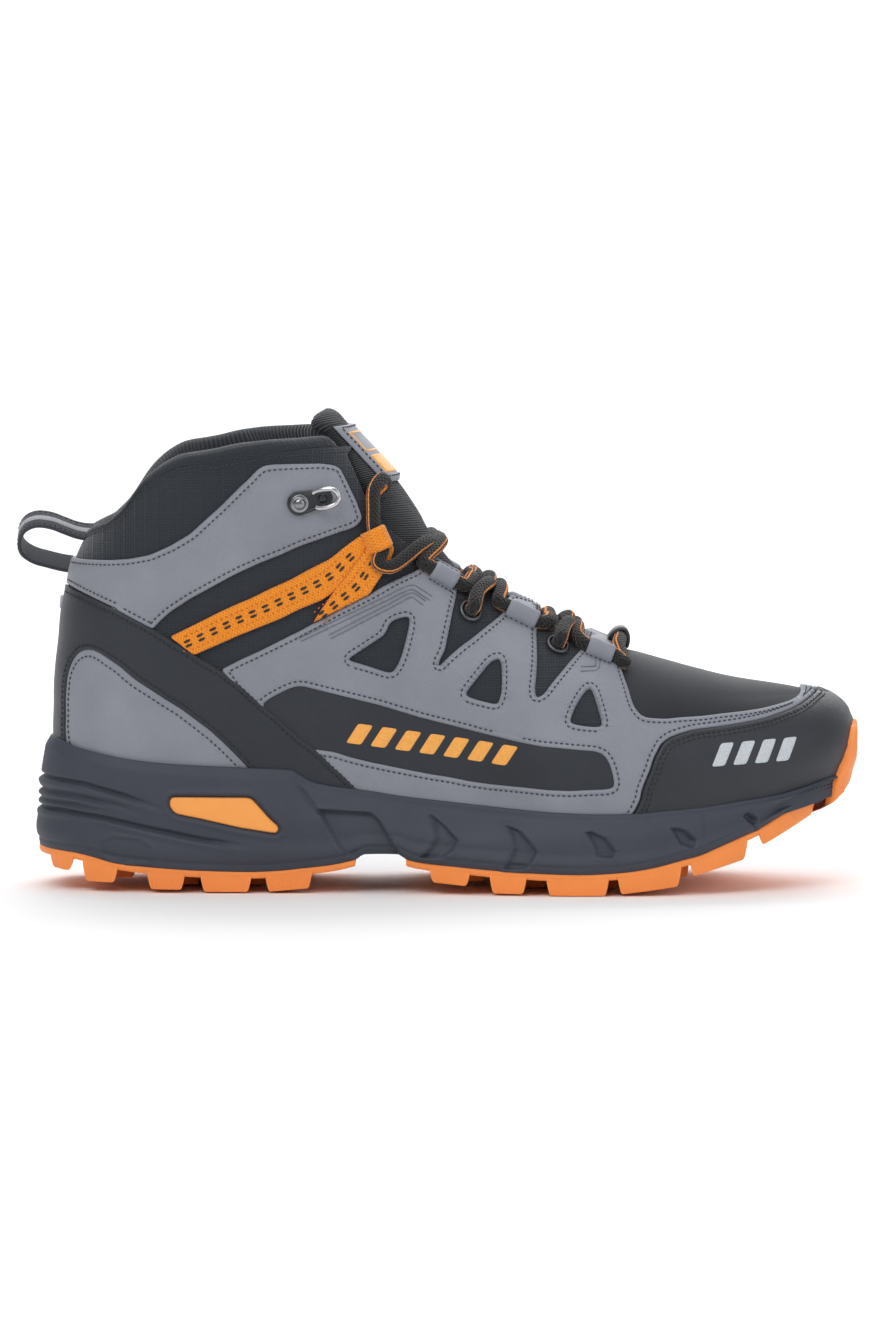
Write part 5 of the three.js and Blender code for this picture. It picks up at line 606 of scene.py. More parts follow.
# ------------------------------------------------------------------ generic printed bars (no lettering)
def bars(name, x0, x1, zf0, zf1, slope, lean, n, mat, base):
    for s in (-1, 1):
        obs = []
        for i in range(n):
            a = x0 + (x1 - x0) * i / n; wv = (x1 - x0) / n * .62; z0 = zf0 + slope * (a - x0); z1 = zf1 + slope * (a - x0)
            q = [[a, z0], [a + wv, z0 + slope * wv], [a + wv + lean, z1 + slope * wv], [a + lean, z1]]; obs.append(patch(name + "_%d" % i, [rounded(q, .5, 2)], s, mat, base=base, t=.12, step=1.6, edge=.15, skirt=.15))
        bpy.ops.object.select_all(action='DESELECT')
        for o in obs: o.select_set(True)
        bpy.context.view_layer.objects.active = obs[0]; bpy.ops.object.join(); obs[0].name = name + ("_lateral" if s < 0 else "_medial"); put(obs[0], "boot")

# ------------------------------------------------------------------ sole
botline = pchip([[-150, 14.9], [-147, 14.7], [-134.1, 13.9], [-116, 10.4], [-105.1, 9.3], [-86.9, 8.2], [-68.7, 7.8], [-57.8, 8.3], [-50.5, 9.1], [-39.6, 10.4], [-31, 12.4], [-27, 14.4], [-15, 14.6], [-11, 12.4], [-3.3, 11.1], [4, 10.4], [22.2, 8.9], [40.4, 8], [51.3, 7.8], [65.8, 8.5], [76.7, 10], [87.6, 12.6], [94.9, 14.4], [102.2, 17.3], [109.4, 20.2], [116.7, 23.1], [123.9, 26.8], [131.2, 30.6], [136.6, 34], [141, 37.5], [146, 40]], 0, 1)
topline = pchip(O["mid_top"] + [[150, 40]], 0, 1)
PLAN = [[0, 0, 0], [.02, 22, 22], [.05, 31, 31], [.1, 38, 37], [.2, 42, 40], [.3, 42.5, 38], [.4, 43.5, 36.5], [.5, 47, 40], [.6, 51.5, 46.5], [.68, 54, 51.5], [.75, 53.5, 53], [.85, 46.5, 49], [.92, 35, 40], [.97, 20, 26], [1, 0, 0]]
tho = lambda t: math.acos(1 - 2 * t)
plat = pchip([[tho(p[0]), p[1]] for p in PLAN], 0, 1); pmed = pchip([[tho(p[0]), p[2]] for p in PLAN], 0, 1)
def plan_xy(th):
    th = np.mod(th, 2 * np.pi); t = np.where(th <= np.pi, th, 2 * np.pi - th); return -148.2 + (1 - np.cos(t)) / 2 * 292.2, np.where(th <= np.pi, -plat(t), pmed(t))
def top_ring(th, off=3.0):
    a = np.full(len(th), -.02); b = np.full(len(th), .6)
    for _ in range(30):
        c = (a + b) / 2; p = P(th, c) + frame_at(th, c)[2] * off; lo = p[:, 2] < topline(np.clip(p[:, 0], -141, 150)); a = np.where(lo, c, a); b = np.where(lo, b, c)
    return a
NTH = 860; FR = np.r_[np.linspace(0, .1, 8), np.linspace(.113, 1, 66)]
mixf = pchip([[0, 0], [.09, .1], [.26, .45], [.45, .85], [.62, 1], [1, 1.0001]], 0, 1); outf = pchip([[0, 0], [.09, 1.3], [.26, 1.], [.45, .2], [.62, -.2], [.84, 1.], [1, -.4]], 0, 1)
sth = np.arange(NTH) * 2 * np.pi / NTH; vtop = top_ring(sth); TN = frame_at(sth, vtop)[2]; TR = P(sth, vtop) + TN * 3.0
ox, oy = plan_xy(sth); ax, ay = plan_xy(sth + .02); bx, by = plan_xy(sth - .02); nn = unit(np.c_[-(by - ay), -(ax - bx)])
def sole_base(k, f):
    """k: columns, f: height fraction arrays -> points, offset along the outward horizontal normals"""
    m = mixf(f)[:, None]; T = TR[k]; o = outf(f)[:, None] * smooth((150. - T[None, :, 0]) / 16.); x = T[None, :, 0] + (ox[k][None] - T[None, :, 0]) * m + nn[k][None, :, 0] * o; y = T[None, :, 1] + (oy[k][None] - T[None, :, 1]) * m + nn[k][None, :, 1] * o
    z = T[None, :, 2] + (botline(np.clip(x, -149, 146)) - T[None, :, 2]) * f[:, None]; x = x - 3.2 * smooth((x - 149.) / 3.5); return np.stack([x, y, z], -1)
SB = sole_base(np.arange(NTH), FR)
def seg_dist(q, line):
    l = A(line); best = np.full(len(q), 1e9)
    for a, b in zip(l[:-1], l[1:]):
        ab = b - a; t = np.clip(((q - a) @ ab) / max(ab @ ab, 1e-9), 0, 1); best = np.minimum(best, np.linalg.norm(q - (a + t[:, None] * ab), axis=1))
    return best
def sole_relief(p):
    q = np.c_[p[:, 0], p[:, 2]]; h = np.zeros(len(q))
    for k, (line, dep) in enumerate(GROOVES):
        dep = dep * (2.3 if k < 4 else 1.4); l = A(line); l = np.vstack([l[l[:, 0].argmin()] - [14., 0.], l[np.argsort(l[:, 0])]]) if k < 4 else l; fade = smooth((l[:, 0].max() + 3 - q[:, 0]) / 22) if k < 4 else 1.; h -= dep * np.exp(-(seg_dist(q, l) / .75) ** 2) * fade
        if k < 4: h += .35 * dep * np.exp(-(seg_dist(q + A([0, 1.9]), l) / 1.2) ** 2) * fade
    for poly, dep in RECESS:
        pl = A(poly); c = pl.mean(0); near = np.linalg.norm(q - c, axis=1) < 30
        if near.any():
            qq = q[near]; i = inside(qq, pl); d = seg_dist(qq, np.vstack([pl, pl[:1]])); h[near] -= dep * (1.55 if q[near, 0].min() > -60 else .4) * smooth(np.where(i, .5 + d / 1.0, .5 - d / 1.0)) - .45 * np.exp(-((d - 1.0) / .7) ** 2) * (~i)
    ins = A(rounded(O["insert"], 1.2, 2)); near = (np.abs(q[:, 0] + 78) < 30)
    i = inside(q[near], ins); d = seg_dist(q[near], np.vstack([ins, ins[:1]])); h[near] -= 1.7 * smooth(np.where(i, .5 + d / .9, .5 - d / .9)) - .5 * np.exp(-((d - 1.2) / .8) ** 2) * (~i)
    h -= .5 * np.exp(-((q[:, 1] - (botline(q[:, 0]) + 2.6)) / .6) ** 2)       # line above the outsole rim
    return h
SBf = SB.reshape(-1, 3); rel = (sole_relief(SBf) * smooth((151. - SBf[:, 0]) / 8.)).reshape(len(FR), NTH); edge_f = smooth((FR - .03) / .1)[:, None]
SV_ = SB + np.concatenate([np.broadcast_to(nn[None], (len(FR), NTH, 2)), np.zeros((len(FR), NTH, 1))], -1) * (rel * edge_f)[..., None]
lip = [P(sth, vtop) + TN * o + A([0, 0, dz]) for o, dz in ((1.2, -7.), (1.2, -1.), (1.3, .25), (1.75, .75), (2.4, .72), (2.85, .35))]
low = SV_[-1]; under = []
ctr = np.c_[low[:, 0], np.zeros(NTH) + ycen(low[:, 0]) * .6, low[:, 2]]
for t_, dz in ((.985, -.3), (.93, -.45), (.8, -.2), (.5, .6), (.25, 1.2), (.0, 1.4)): under.append(ctr + (low - ctr) * t_ + A([0, 0, dz]))
rings = np.vstack([*lip, SV_.reshape(-1, 3), *under]); nr = len(lip) + len(FR) + len(under)
uv = np.c_[rings[:, 0], rings[:, 2]] / 1000.
ms = mesh("midsole", rings, grid_faces(nr, NTH, wrap=True, flip=True), FOAM, uv=uv)
def fix_normals(o):
    import bmesh
    bm = bmesh.new(); bm.from_mesh(o.data); bmesh.ops.remove_doubles(bm, verts=bm.verts, dist=2e-6); bmesh.ops.recalc_face_normals(bm, faces=bm.faces); bm.to_mesh(o.data); bm.free(); o.data.polygons.foreach_set("use_smooth", [True] * len(o.data.polygons)); o.data.update(); return o
put(fix_normals(ms), "boot", "midsole")
# side wall lookup
WALL = {s: (SBf[(SBf[:, 1] * s > 5)]) for s in (-1, 1)}
def wall_y(x, z, s):
    w_ = WALL[s]; out = np.empty(len(x))
    for i in range(0, len(x), 500):
        d = (w_[None, :, 0] - x[i:i + 500, None]) ** 2 + (w_[None, :, 2] - z[i:i + 500, None]) ** 2; k = np.argpartition(d, 6, axis=1)[:, :6]; dd = np.take_along_axis(d, k, 1); wt = 1 / (dd + .02); out[i:i + 500] = (w_[k, 1] * wt).sum(1) / wt.sum(1)
    return out
def wall_patch(name, poly, s, mat, off, t, edge=.6, step=1.2):
    o_ = densify(rounded(poly, 1.2, 2), .7); kd = kd_of(np.c_[o_, np.zeros(len(o_))]); xs = np.arange(o_[:, 0].min(), o_[:, 0].max(), step); zs = np.arange(o_[:, 1].min(), o_[:, 1].max(), step); X, Z = np.meshgrid(xs, zs); q = np.c_[X.ravel(), Z.ravel()]; q = q[inside(q, o_)]
    tn = unit(np.roll(o_, -1, 0) - np.roll(o_, 1, 0)); a = .5 * np.sum(o_[:, 0] * np.roll(o_[:, 1], -1) - np.roll(o_[:, 0], -1) * o_[:, 1]); inn = np.c_[-tn[:, 1], tn[:, 0]] * (1 if a > 0 else -1)
    ext = np.vstack([o_ + inn * d for d in (edge * .3, edge * .8, edge * 1.4)]); D = lambda p: kd_dist(kd, np.c_[p, np.zeros(len(p))])
    q = q[D(q) > edge * 1.4 + .3]; ext = ext[inside(ext, o_)]; v = np.vstack([o_, ext, q]); vc, _, fc, _, _, _ = delaunay_2d_cdt([Vector(p) for p in v], [(i, (i + 1) % len(o_)) for i in range(len(o_))], [], 0, 1e-4); vc = A(vc)[:, :2]; fc = [f for f in fc if len(f) == 3]; fc = [f for f, k in zip(fc, inside(A([vc[list(f)].mean(0) for f in fc]), o_)) if k]
    d = D(vc); h = off + t * np.sqrt(np.maximum(0, 1 - (1 - np.minimum(d / edge, 1)) ** 2)); y = wall_y(vc[:, 0], vc[:, 1], s); V = np.c_[vc[:, 0], y + s * h, vc[:, 1]]; nb = len(o_); L = len(V); lowr = V[:nb].copy(); lowr[:, 1] -= s * 1.2; V = np.vstack([V, lowr])
    F_ = [tuple(f) for f in fc] + [((i + 1) % nb, i, L + i, L + (i + 1) % nb) for i in range(nb)]
    return fix_normals(mesh(name, V, F_, mat, uv=np.c_[V[:, 0], V[:, 2]] / 1000.))
for s, nm in ((-1, "lateral"), (1, "medial")): put(wall_patch("heel_insert_" + nm, grow(O["insert"], -.5), s, INS, -1.5, .8), "boot", "heel_insert_" + nm)

# outsole: plates and lugs
EX = {}
for s in (-1, 1):
    k = (np.sin(sth) > 0) if s < 0 else (np.sin(sth) < 0); q = SB[-1][k]; o_ = np.argsort(q[:, 0]); EX[s] = (np.r_[-148.6, q[o_, 0], 144.4], np.r_[0, q[o_, 1], q[o_, 1][-1] * .3])
def edge_y(x, s): return np.interp(x, EX[s][0], EX[s][1])
parts = {"outsole_heel": [], "outsole_forefoot": []}
def plate(x0, x1, taper0, taper1):
    xs = x0 + (x1 - x0) * (1 - np.cos(np.linspace(0, np.pi, 130))) / 2; ts = np.linspace(0, 1, 30); R_ = []
    for x in xs:
        a, b = edge_y(x, -1) - .35, edge_y(x, 1) + .35; z = float(botline(x)); top = z - .1; bot = z - 2.5; e0 = min(1, (x - x0) / 1.2 + .0), min(1, (x1 - x) / 1.2)
        ys = a + (b - a) * ts; sec = [(a + .5, top)] + [(y_, top - .05) for y_ in ys[2:-2]] + [(b - .5, top), (b, top - .5), (b, bot + .7), (b - .6, bot)] + [(y_, bot) for y_ in ys[::-1][2:-2]] + [(a + .6, bot), (a, bot + .7), (a, top - .5)]; R_.append([(x, y_, z_) for y_, z_ in sec])
    R_ = A(R_); n, k, _ = R_.shape; return R_.reshape(-1, 3), [tuple(f) for f in grid_faces(n, k, wrap=True)] + [tuple(range(k)), tuple((n - 1) * k + i for i in range(k))]
parts["outsole_heel"].append(plate(-148.0, -30.5, 1, 0)); parts["outsole_forefoot"].append(plate(-12., 143.2, 0, 1))
def lug(x0, x1, ya, yb, z, flare=0.9, serr=True, side=0):
    """rounded tapered block; ya outer edge (function of x), yb inner edge"""
    zz = z if isinstance(z, (list, tuple)) else (z, z); n = max(6, int((x1 - x0) / .85)); xs = np.linspace(x0, x1, n + 1); out = [(x, ya(x), (.32 if i % 2 else 0.) if serr and 0 < i < n else 0.) for i, x in enumerate(xs)]
    inn = [(x, yb(x)) for x in np.linspace(x1, x0, 5)]; rows = []
    for f, sh in ((0, 0), (.25, .1), (.55, .35), (.86, .7), (.97, 1.05), (1.0, 1.6)):
        r = []
        cx, cy = (x0 + x1) / 2, None
        for x, y, ser in out: 
            sx = np.clip((x - cx) / ((x1 - x0) / 2), -1, 1); yo = y - np.sign(side or 1) * (sh * flare * .55 + ser * (1 if f < .97 else .3)); r.append((x - sx * sh * flare, yo, f))
        for x, y in inn:
            sx = np.clip((x - cx) / ((x1 - x0) / 2), -1, 1); r.append((x - sx * sh * flare, y + np.sign(side or 1) * sh * flare, f))
        rows.append([(x, y, (float(botline(x)) - 1.4) * (1 - f) + (zz[0] + (zz[1] - zz[0]) * (x - x0) / (x1 - x0)) * f) for x, y, f in r])
    R_ = A(rows); m, k, _ = R_.shape; return R_.reshape(-1, 3), [tuple(f) for f in grid_faces(m, k, wrap=True)] + [tuple(range(k)), tuple((m - 1) * k + i for i in range(k))]
def outer_lug(x0, x1, s, dep, z): return lug(x0, x1, lambda x: edge_y(x, s) + s * .55, lambda x: edge_y(x, s) - s * dep, z, flare=1.5, side=s)
def blk(x0, x1, y0, y1, z): return lug(x0, x1, lambda x: y1, lambda x: y0, z, serr=False, side=1)
for s in (-1, 1):
    parts["outsole_heel"] += [outer_lug(-143, -134, s, 10, 7.2), outer_lug(-130.5, -117.5, s, 13, 3.4), outer_lug(-106.5, -92.8, s, 13, 1.1), outer_lug(-87, -68.5, s, 13, .3), outer_lug(-63.3, -46.3, s, 13, [.3, 1.8])]
    parts["outsole_forefoot"] += [outer_lug(-3.5, 11.2, s, 13, [4.4, 3]), outer_lug(18.4, 31.8, s, 15, .5), outer_lug(39., 61.7, s, 16, 0.), outer_lug(65, 88.2, s, 15, [.4, 3.2]), outer_lug(91.5, 112.7, s, 13, [6.5, 12.4]), outer_lug(117, 138.5, s, 11, [16.5, 26.8])]
for a in ((-126, -112, -14, -2, 2.8), (-126, -112, 2, 14, 2.8), (-103, -88, -18, -3, .6), (-103, -88, 3, 16, .6), (-78, -62, -18, -3, .5), (-78, -62, 3, 14, .5)): parts["outsole_heel"].append(blk(*a))
for a in ((2, 17, -20, -3, 2), (2, 17, 3, 15, 2), (24, 40, -26, -4, .2), (24, 40, 4, 21, .2), (48, 66, -28, -4, 0.), (48, 66, 4, 25, 0.), (75, 92, -24, -4, [1.6, 4.4]), (75, 92, 4, 25, [1.6, 4.4]), (99, 114, -16, -3, [8.6, 13.4]), (99, 114, 3, 20, [8.6, 13.4])): parts["outsole_forefoot"].append(blk(*a))
def join_raw(name, lst, mat):
    V, Fc, o_ = [], [], 0
    for v, f in lst: V.append(v); Fc += [tuple(i + o_ for i in q) for q in f]; o_ += len(v)
    V = np.vstack(V); ob = fix_normals(mesh(name, V, Fc, mat, uv=np.c_[V[:, 0], V[:, 1]] / 1000.)); a = ob.modifiers.new("flat", 'EDGE_SPLIT'); a.split_angle = math.radians(42); return ob
# toe wrap: rubber turned up over the toe, found from its outline in front view
def front_inv(y, z):
    TH, VV = np.meshgrid(np.linspace(.55 * np.pi, 1.45 * np.pi, 120), np.linspace(-.16, .4, 80)); g = P(TH.ravel(), VV.ravel()) + frame_at(TH.ravel(), VV.ravel())[2] * 2.5; k = [((g[:, 1] - a) ** 2 + (g[:, 2] - b) ** 2 + .002 * (150 - g[:, 0]) ** 2).argmin() for a, b in zip(y, z)]; th, v = TH.ravel()[k], VV.ravel()[k]
    return th, v
TW = rounded([[-15.5, 24], [-14.5, 38], [-11.5, 49], [-7.5, 56], [0, 60.4], [9, 60.4], [16, 56.5], [20.5, 49], [23.5, 38], [24.5, 24]], 3., 2, closed=False); TW = densify(TW, .8, False); th_, v_ = front_inv(TW[:, 0], TW[:, 1])
kk = np.ones(5) / 5; th_ = np.r_[th_[:2], np.convolve(th_, kk, 'valid'), th_[-2:]]; v_ = np.r_[v_[:2], np.convolve(v_, kk, 'valid'), v_[-2:]]
bt = np.c_[np.linspace(th_[-1], th_[0], 90), np.full(90, -.115)]; TWL = np.vstack([np.c_[th_, v_], bt]); TWL = TWL[np.linalg.norm((TWL - np.roll(TWL, 1, 0)) * DOM, axis=1) > .15]
TWL[:, 0] = np.where(np.abs(TWL[:, 0] - np.pi) < 1e-4, np.pi + 1e-3, TWL[:, 0])
tw = patch("toe_wrap", None, -1, RUB, base=1.2, t=2.7, step=1.3, edge=1.3, skirt=1.2, raw=[TWL], uvf=lambda p: np.c_[p[:, 1], p[:, 2]], height=lambda p, d: -.5 * np.exp(-((d - 3.4) / .5) ** 2) * (p[:, 2] > 34))
tv3 = np.empty(len(tw.data.vertices) * 3); tw.data.vertices.foreach_get("co", tv3); tv3 = tv3.reshape(-1, 3) * 1000 - SHIFT
xm = np.interp(tv3[:, 2], [24.5, 26, 28.2, 30.6, 33.9, 38, 42], [128, 134, 140.5, 145.1, 149.2, 152.4, 154.8]); tv3[:, 0] = np.minimum(tv3[:, 0], xm); tw.data.vertices.foreach_set("co", ((tv3 + SHIFT) / 1000).ravel()); tw.data.update()
put(fix_normals(tw), "boot")
put(join_raw("outsole_heel_lugs", parts["outsole_heel"], RUB), "boot", "outsole_heel"); put(join_raw("outsole_forefoot_lugs", parts["outsole_forefoot"], RUB), "boot", "outsole_forefoot")

# ------------------------------------------------------------------ collar roll
CF = .84
def collar_th(t): a = CF * np.pi; return np.mod(2 * np.pi + a * (1 - 2 * t), 2 * np.pi)
SEC = A([[.966, -.8], [.969, .0], [.979, .55], [.991, .4], [1.002, -.9], [1.008, -2.6], [1.009, -4.2], [1.004, -6.2], [.99, -8.1], [.965, -9.1], [.93, -8.9], [.905, -7.6], [.905, -4.9], [.935, -2.8], [.96, -2.0]])
SEC2 = catmull(np.c_[SEC[:, 0] * 190, SEC[:, 1], np.zeros(len(SEC))], 64, closed=True)[:-1]; SEC2 = np.c_[SEC2[:, 0] / 190, SEC2[:, 1]]
ncs = 230; tt = np.linspace(0, 1, ncs); R_ = []; UVc = []
for t in tt:
    th = float(collar_th(t)); tip = float(smooth(min(t, 1 - t) * 34 / 1.2)); kx = .12 + .88 * tip; wob = .25 * math.sin(t * 61) + .2 * math.sin(t * 37 + 1)
    low_ = .66 + .34 * float(smooth(1 - 2.2 * max(0., math.sin(th)))); v = .957 + np.where(SEC2[:, 0] > .957, (SEC2[:, 0] - .957) * kx * low_, (SEC2[:, 0] - .957) * kx); o_ = -4.4 + (SEC2[:, 1] - 4.4 * 0 + 4.4) * (.2 + .8 * tip) + wob * smooth((SEC2[:, 0] - .97) / .03); R_.append(P(np.full(len(v), th), v) + frame_at(np.full(len(v), th), v)[2] * o_[:, None])
R_ = A(R_); arc = np.r_[0, np.cumsum(np.linalg.norm(np.diff(R_[:, 10], axis=0), axis=1))]; k = R_.shape[1]
cv = np.arange(k) * 1.2; uvc = np.stack(np.broadcast_arrays(arc[:, None] / 1000, cv[None] / 1000), -1).reshape(-1, 2)
cr = mesh("collar_roll", R_.reshape(-1, 3), [tuple(f) for f in grid_faces(ncs, k, wrap=True)] + [tuple(range(k)), tuple((ncs - 1) * k + i for i in range(k))], KNIT, uv=uvc)
cr.data.materials.append(NAVY); na = len(cr.data.polygons); mi = np.zeros(na, int); fi = np.arange((ncs - 1) * k); lo = fi % k; offk = (SEC2[lo % len(SEC2), 1]); mi[:(ncs - 1) * k] = ((offk > -3.4)).astype(int); cr.data.polygons.foreach_set("material_index", mi)
put(fix_normals(cr), "boot", "collar_roll")
# ribbed inner sock between the roll and the lining, heel to throat on both sides
th2 = np.concatenate([collar_th(np.linspace(.01, .99, 200))]); vr = np.linspace(.945, .55, 26); TT, VV = np.meshgrid(th2, vr); q = P(TT.ravel(), VV.ravel()) + frame_at(TT.ravel(), VV.ravel())[2] * (-5.0 - 2.6 * np.clip((VV.ravel() - .6) / .3, 0, 1) ** .7)[:, None]
arc2 = np.r_[0, np.cumsum(np.linalg.norm(np.diff(q.reshape(26, 200, 3)[0], axis=0), axis=1))]; uv2 = np.stack(np.broadcast_arrays(arc2[None] / 1000, (vr * 165)[:, None] / 1000), -1).reshape(-1, 2)
sock = mesh("inner_sock", q, grid_faces(26, 200), KNIT, uv=uv2); so = sock.modifiers.new("thick", 'SOLIDIFY'); so.thickness = .0009; so.offset = 0; put(sock, "boot")
stitch_obj("stitch_collar", [r for s in (-1, 1) for r in line_rows([p for p in zip(*[list(c) for c in sv(np.linspace(.0, .92, 200), .955)])], s, .05)], ST_D)

# ------------------------------------------------------------------ footbed, tongue
fth = np.linspace(0, np.pi, 120)[1:-1]; la = P(fth, 0. * fth) + frame_at(fth, 0. * fth)[2] * -6.9; me_ = P(2 * np.pi - fth, 0. * fth) + frame_at(2 * np.pi - fth, 0. * fth)[2] * -6.9
rows = []; tv_ = np.linspace(0, 1, 34)
for t in tv_: rows.append(la * (1 - t) + me_ * t + A([0, 0, 6.7]) + A([0, 0, -1.1]) * np.sin(np.pi * t) * 0 + np.c_[0 * fth, 0 * fth, 1.6 * ((2 * t - 1) ** 4) * np.ones(len(fth)) - .6])
G_ = A(rows); keepc = G_[0][:, 0] < 141; G_ = G_[:, keepc]; n1, n2, _ = G_.shape; bot_ = G_ - A([0, 0, 3.8]); V = np.vstack([G_.reshape(-1, 3), bot_.reshape(-1, 3)]); o2 = n1 * n2
per = [(i, i + 1) for i in range(n2 - 1)] + [(n2 - 1 + i * n2, n2 - 1 + (i + 1) * n2) for i in range(n1 - 1)] + [(o2 - 1 - i, o2 - 2 - i) for i in range(n2 - 1)] + [((n1 - 1 - i) * n2, (n1 - 2 - i) * n2) for i in range(n1 - 1)]
fb = mesh("footbed", V, [tuple(f) for f in grid_faces(n1, n2)] + [tuple(f) for f in grid_faces(n1, n2, flip=True, base=o2)] + [(b, a, a + o2, b + o2) for a, b in per], FOOT, uv=V[:, :2] / 1000.)
put(fix_normals(fb), "insole", "footbed")

def padgrid(name, th0f, th1f, vs, off_out, thick, mat, nt=54, crown=1.0, uvs=None):
    """closed pad between two loop positions (functions of v), outer face crowned"""
    out, inn = [], []; ts = np.linspace(-1, 1, nt)
    for v in vs:
        a, b = th0f(v), th1f(v); th = (a + b) / 2 + (b - a) / 2 * ts; e = np.sqrt(np.maximum(0, 1 - np.abs(ts) ** 6)); ve = 1.; 
        if v > vs[-1] - .035: ve = math.sqrt(max(0, 1 - ((v - (vs[-1] - .035)) / .035) ** 2))
        mid = off_out(v) - thick(v) / 2; hh = thick(v) / 2 * e * ve; n = frame_at(th, np.full(nt, v))[2]; p = P(th, np.full(nt, v)); out.append(p + n * (mid + hh * crown)[:, None]); inn.append(p + n * (mid - hh)[:, None])
    O_, I_ = A(out), A(inn); nv = len(vs); V = np.vstack([O_.reshape(-1, 3), I_.reshape(-1, 3)]); o2 = nv * nt; per = [(i, i + 1) for i in range(nt - 1)] + [(nt - 1 + i * nt, nt - 1 + (i + 1) * nt) for i in range(nv - 1)] + [(o2 - 1 - i, o2 - 2 - i) for i in range(nt - 1)] + [((nv - 1 - i) * nt, (nv - 2 - i) * nt) for i in range(nv - 1)]
    ar_ = np.r_[0, np.cumsum(np.linalg.norm(np.diff(O_[:, nt // 2], axis=0), axis=1))]; uvg = np.stack(np.broadcast_arrays((ts * 26)[None], ar_[:, None]), -1).reshape(-1, 2) / 1000.
    o = mesh(name, V, [tuple(f) for f in grid_faces(nv, nt)] + [tuple(f) for f in grid_faces(nv, nt, flip=True, base=o2)] + [(b, a, a + o2, b + o2) for a, b in per], mat, uv=np.vstack([uvg, uvg])); return fix_normals(o)
# tongue: one padded panel from the vamp to the shin, shaped over the ankle
ths = np.r_[np.linspace(.34, .99, 66), np.linspace(1.0, 1.06, 22)]
half_ = pchip([[.3, .07], [.4, .14], [.55, .205], [.7, .235], [.8, .24], [.9, .205], [.97, .165], [1.0, .165], [1.016, .205], [1.03, .2], [1.044, .165], [1.055, .1], [1.062, .05]], 0, 1)
toff = pchip([[.3, -6.5], [.45, -7.4], [.6, -7.6], [.7, -6.4], [.78, -4.0], [.86, -1.6], [.95, -.3], [1.06, .1]], 0, 1); tth = pchip([[.3, 2.6], [.6, 3.2], [.8, 4.6], [.95, 6.2], [1.06, 5.2]], 0, 1)
tg = padgrid("tongue", lambda v: np.pi * (1 - float(half_(v))), lambda v: np.pi * (1 + float(half_(v))), ths, lambda v: float(toff(v)), lambda v: float(tth(v)), TONGUE_M)
cc = A([p.center for p in tg.data.polygons]) if False else None
tg.data.materials.append(TKNIT)
cen = np.empty(len(tg.data.polygons) * 3); tg.data.polygons.foreach_get("center", cen); cen = cen.reshape(-1, 3) * 1000 - SHIFT
tg.data.polygons.foreach_set("material_index", ((cen[:, 2] - 157.5) + .85 * (cen[:, 0] + 33) * 0 > 0).astype(int))
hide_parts("tongue_lower", "tongue_upper"); DONE.append(tg)
def M3(x, y, z): return tuple((A([x, y, z]) + SHIFT) / 1000.)
M3(-1.0, 0, 130.5)
M3(-16.5, 0, 147.0)
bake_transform(tg)
# label on the tongue: a stitched patch with plain blocks
def on_tongue(poly, y0, y1, off, t, name, mat, edge=.5, n=26):
    """patch on the front line between two side-view arc points, y0..y1 across"""
    A0, A1 = poly; ls = np.linspace(A0, A1, n); ys = np.linspace(y0, y1, 22); top = []; vs = np.interp(ls, ARCL, VL)
    for v in vs:
        r = []
        for y_ in ys:
            th = np.pi + math.copysign(1, y_ if y_ else 1) * 0; ths_ = np.linspace(np.pi * .7, np.pi * 1.3, 121); pp = P(ths_, np.full(121, v)); th = float(np.interp(y_, pp[:, 1], ths_)); r.append((th, v))
        top.append(r)
    tvg = A(top).reshape(-1, 2); a_, b_ = np.meshgrid(np.linspace(-1, 1, n), np.linspace(-1, 1, 22), indexing='ij'); hl = abs(A1 - A0) / 2; hw = (y1 - y0) / 2
    dd = np.minimum((1 - np.abs(a_)) * hl, (1 - np.abs(b_)) * hw).ravel(); h = off + t * np.sqrt(np.maximum(0, 1 - (1 - np.minimum(dd / edge, 1)) ** 2)); base_n = frame_at(tvg[:, 0], tvg[:, 1])[2]; pb = P(tvg[:, 0], tvg[:, 1]); V1 = pb + base_n * h[:, None]; V0 = pb + base_n * (off - .3); o2 = len(V1); nt = 22
    per = [(i, i + 1) for i in range(nt - 1)] + [(nt - 1 + i * nt, nt - 1 + (i + 1) * nt) for i in range(n - 1)] + [(o2 - 1 - i, o2 - 2 - i) for i in range(nt - 1)] + [((n - 1 - i) * nt, (n - 2 - i) * nt) for i in range(n - 1)]
    u = np.c_[(a_.ravel()) * hl, (b_.ravel()) * hw] / 1000.; return fix_normals(mesh(name, np.vstack([V1, V0]), [tuple(f) for f in grid_faces(n, nt)] + [tuple(f) for f in grid_faces(n, nt, flip=True, base=o2)] + [(b, a, a + o2, b + o2) for a, b in per], mat, uv=np.vstack([u, u])))
def arc_of(x, z): return float(FL[((FXL - x) ** 2 + (FZL - z) ** 2).argmin()])
La, Lb = arc_of(-14.8, 149.), arc_of(-33.2, 169.6)
lab = on_tongue((La, Lb), -18.2, 13.5, .12, 1.25, "tongue_label", GREY, .8); put(lab, "tongue", "tongue_label")
L1, L2, L3_, L4 = La + (Lb - La) * .12, La + (Lb - La) * .44, La + (Lb - La) * .50, La + (Lb - La) * .86
put(on_tongue((L1, L2), -15., 9., 1.3, .28, "label_block", PRINT_O, .3), "tongue")
for i, (a, b, c, d) in enumerate(((L3_, L4, -15., -14.1), (L3_, L4, 8.1, 9.), (L3_, L3_ + .9, -14., 8.), (L4 - .9, L4, -14., 8.))): put(on_tongue((a, b), c, d, 1.3, .25, "label_frame_%d" % i, PRINT_O, .25), "tongue")
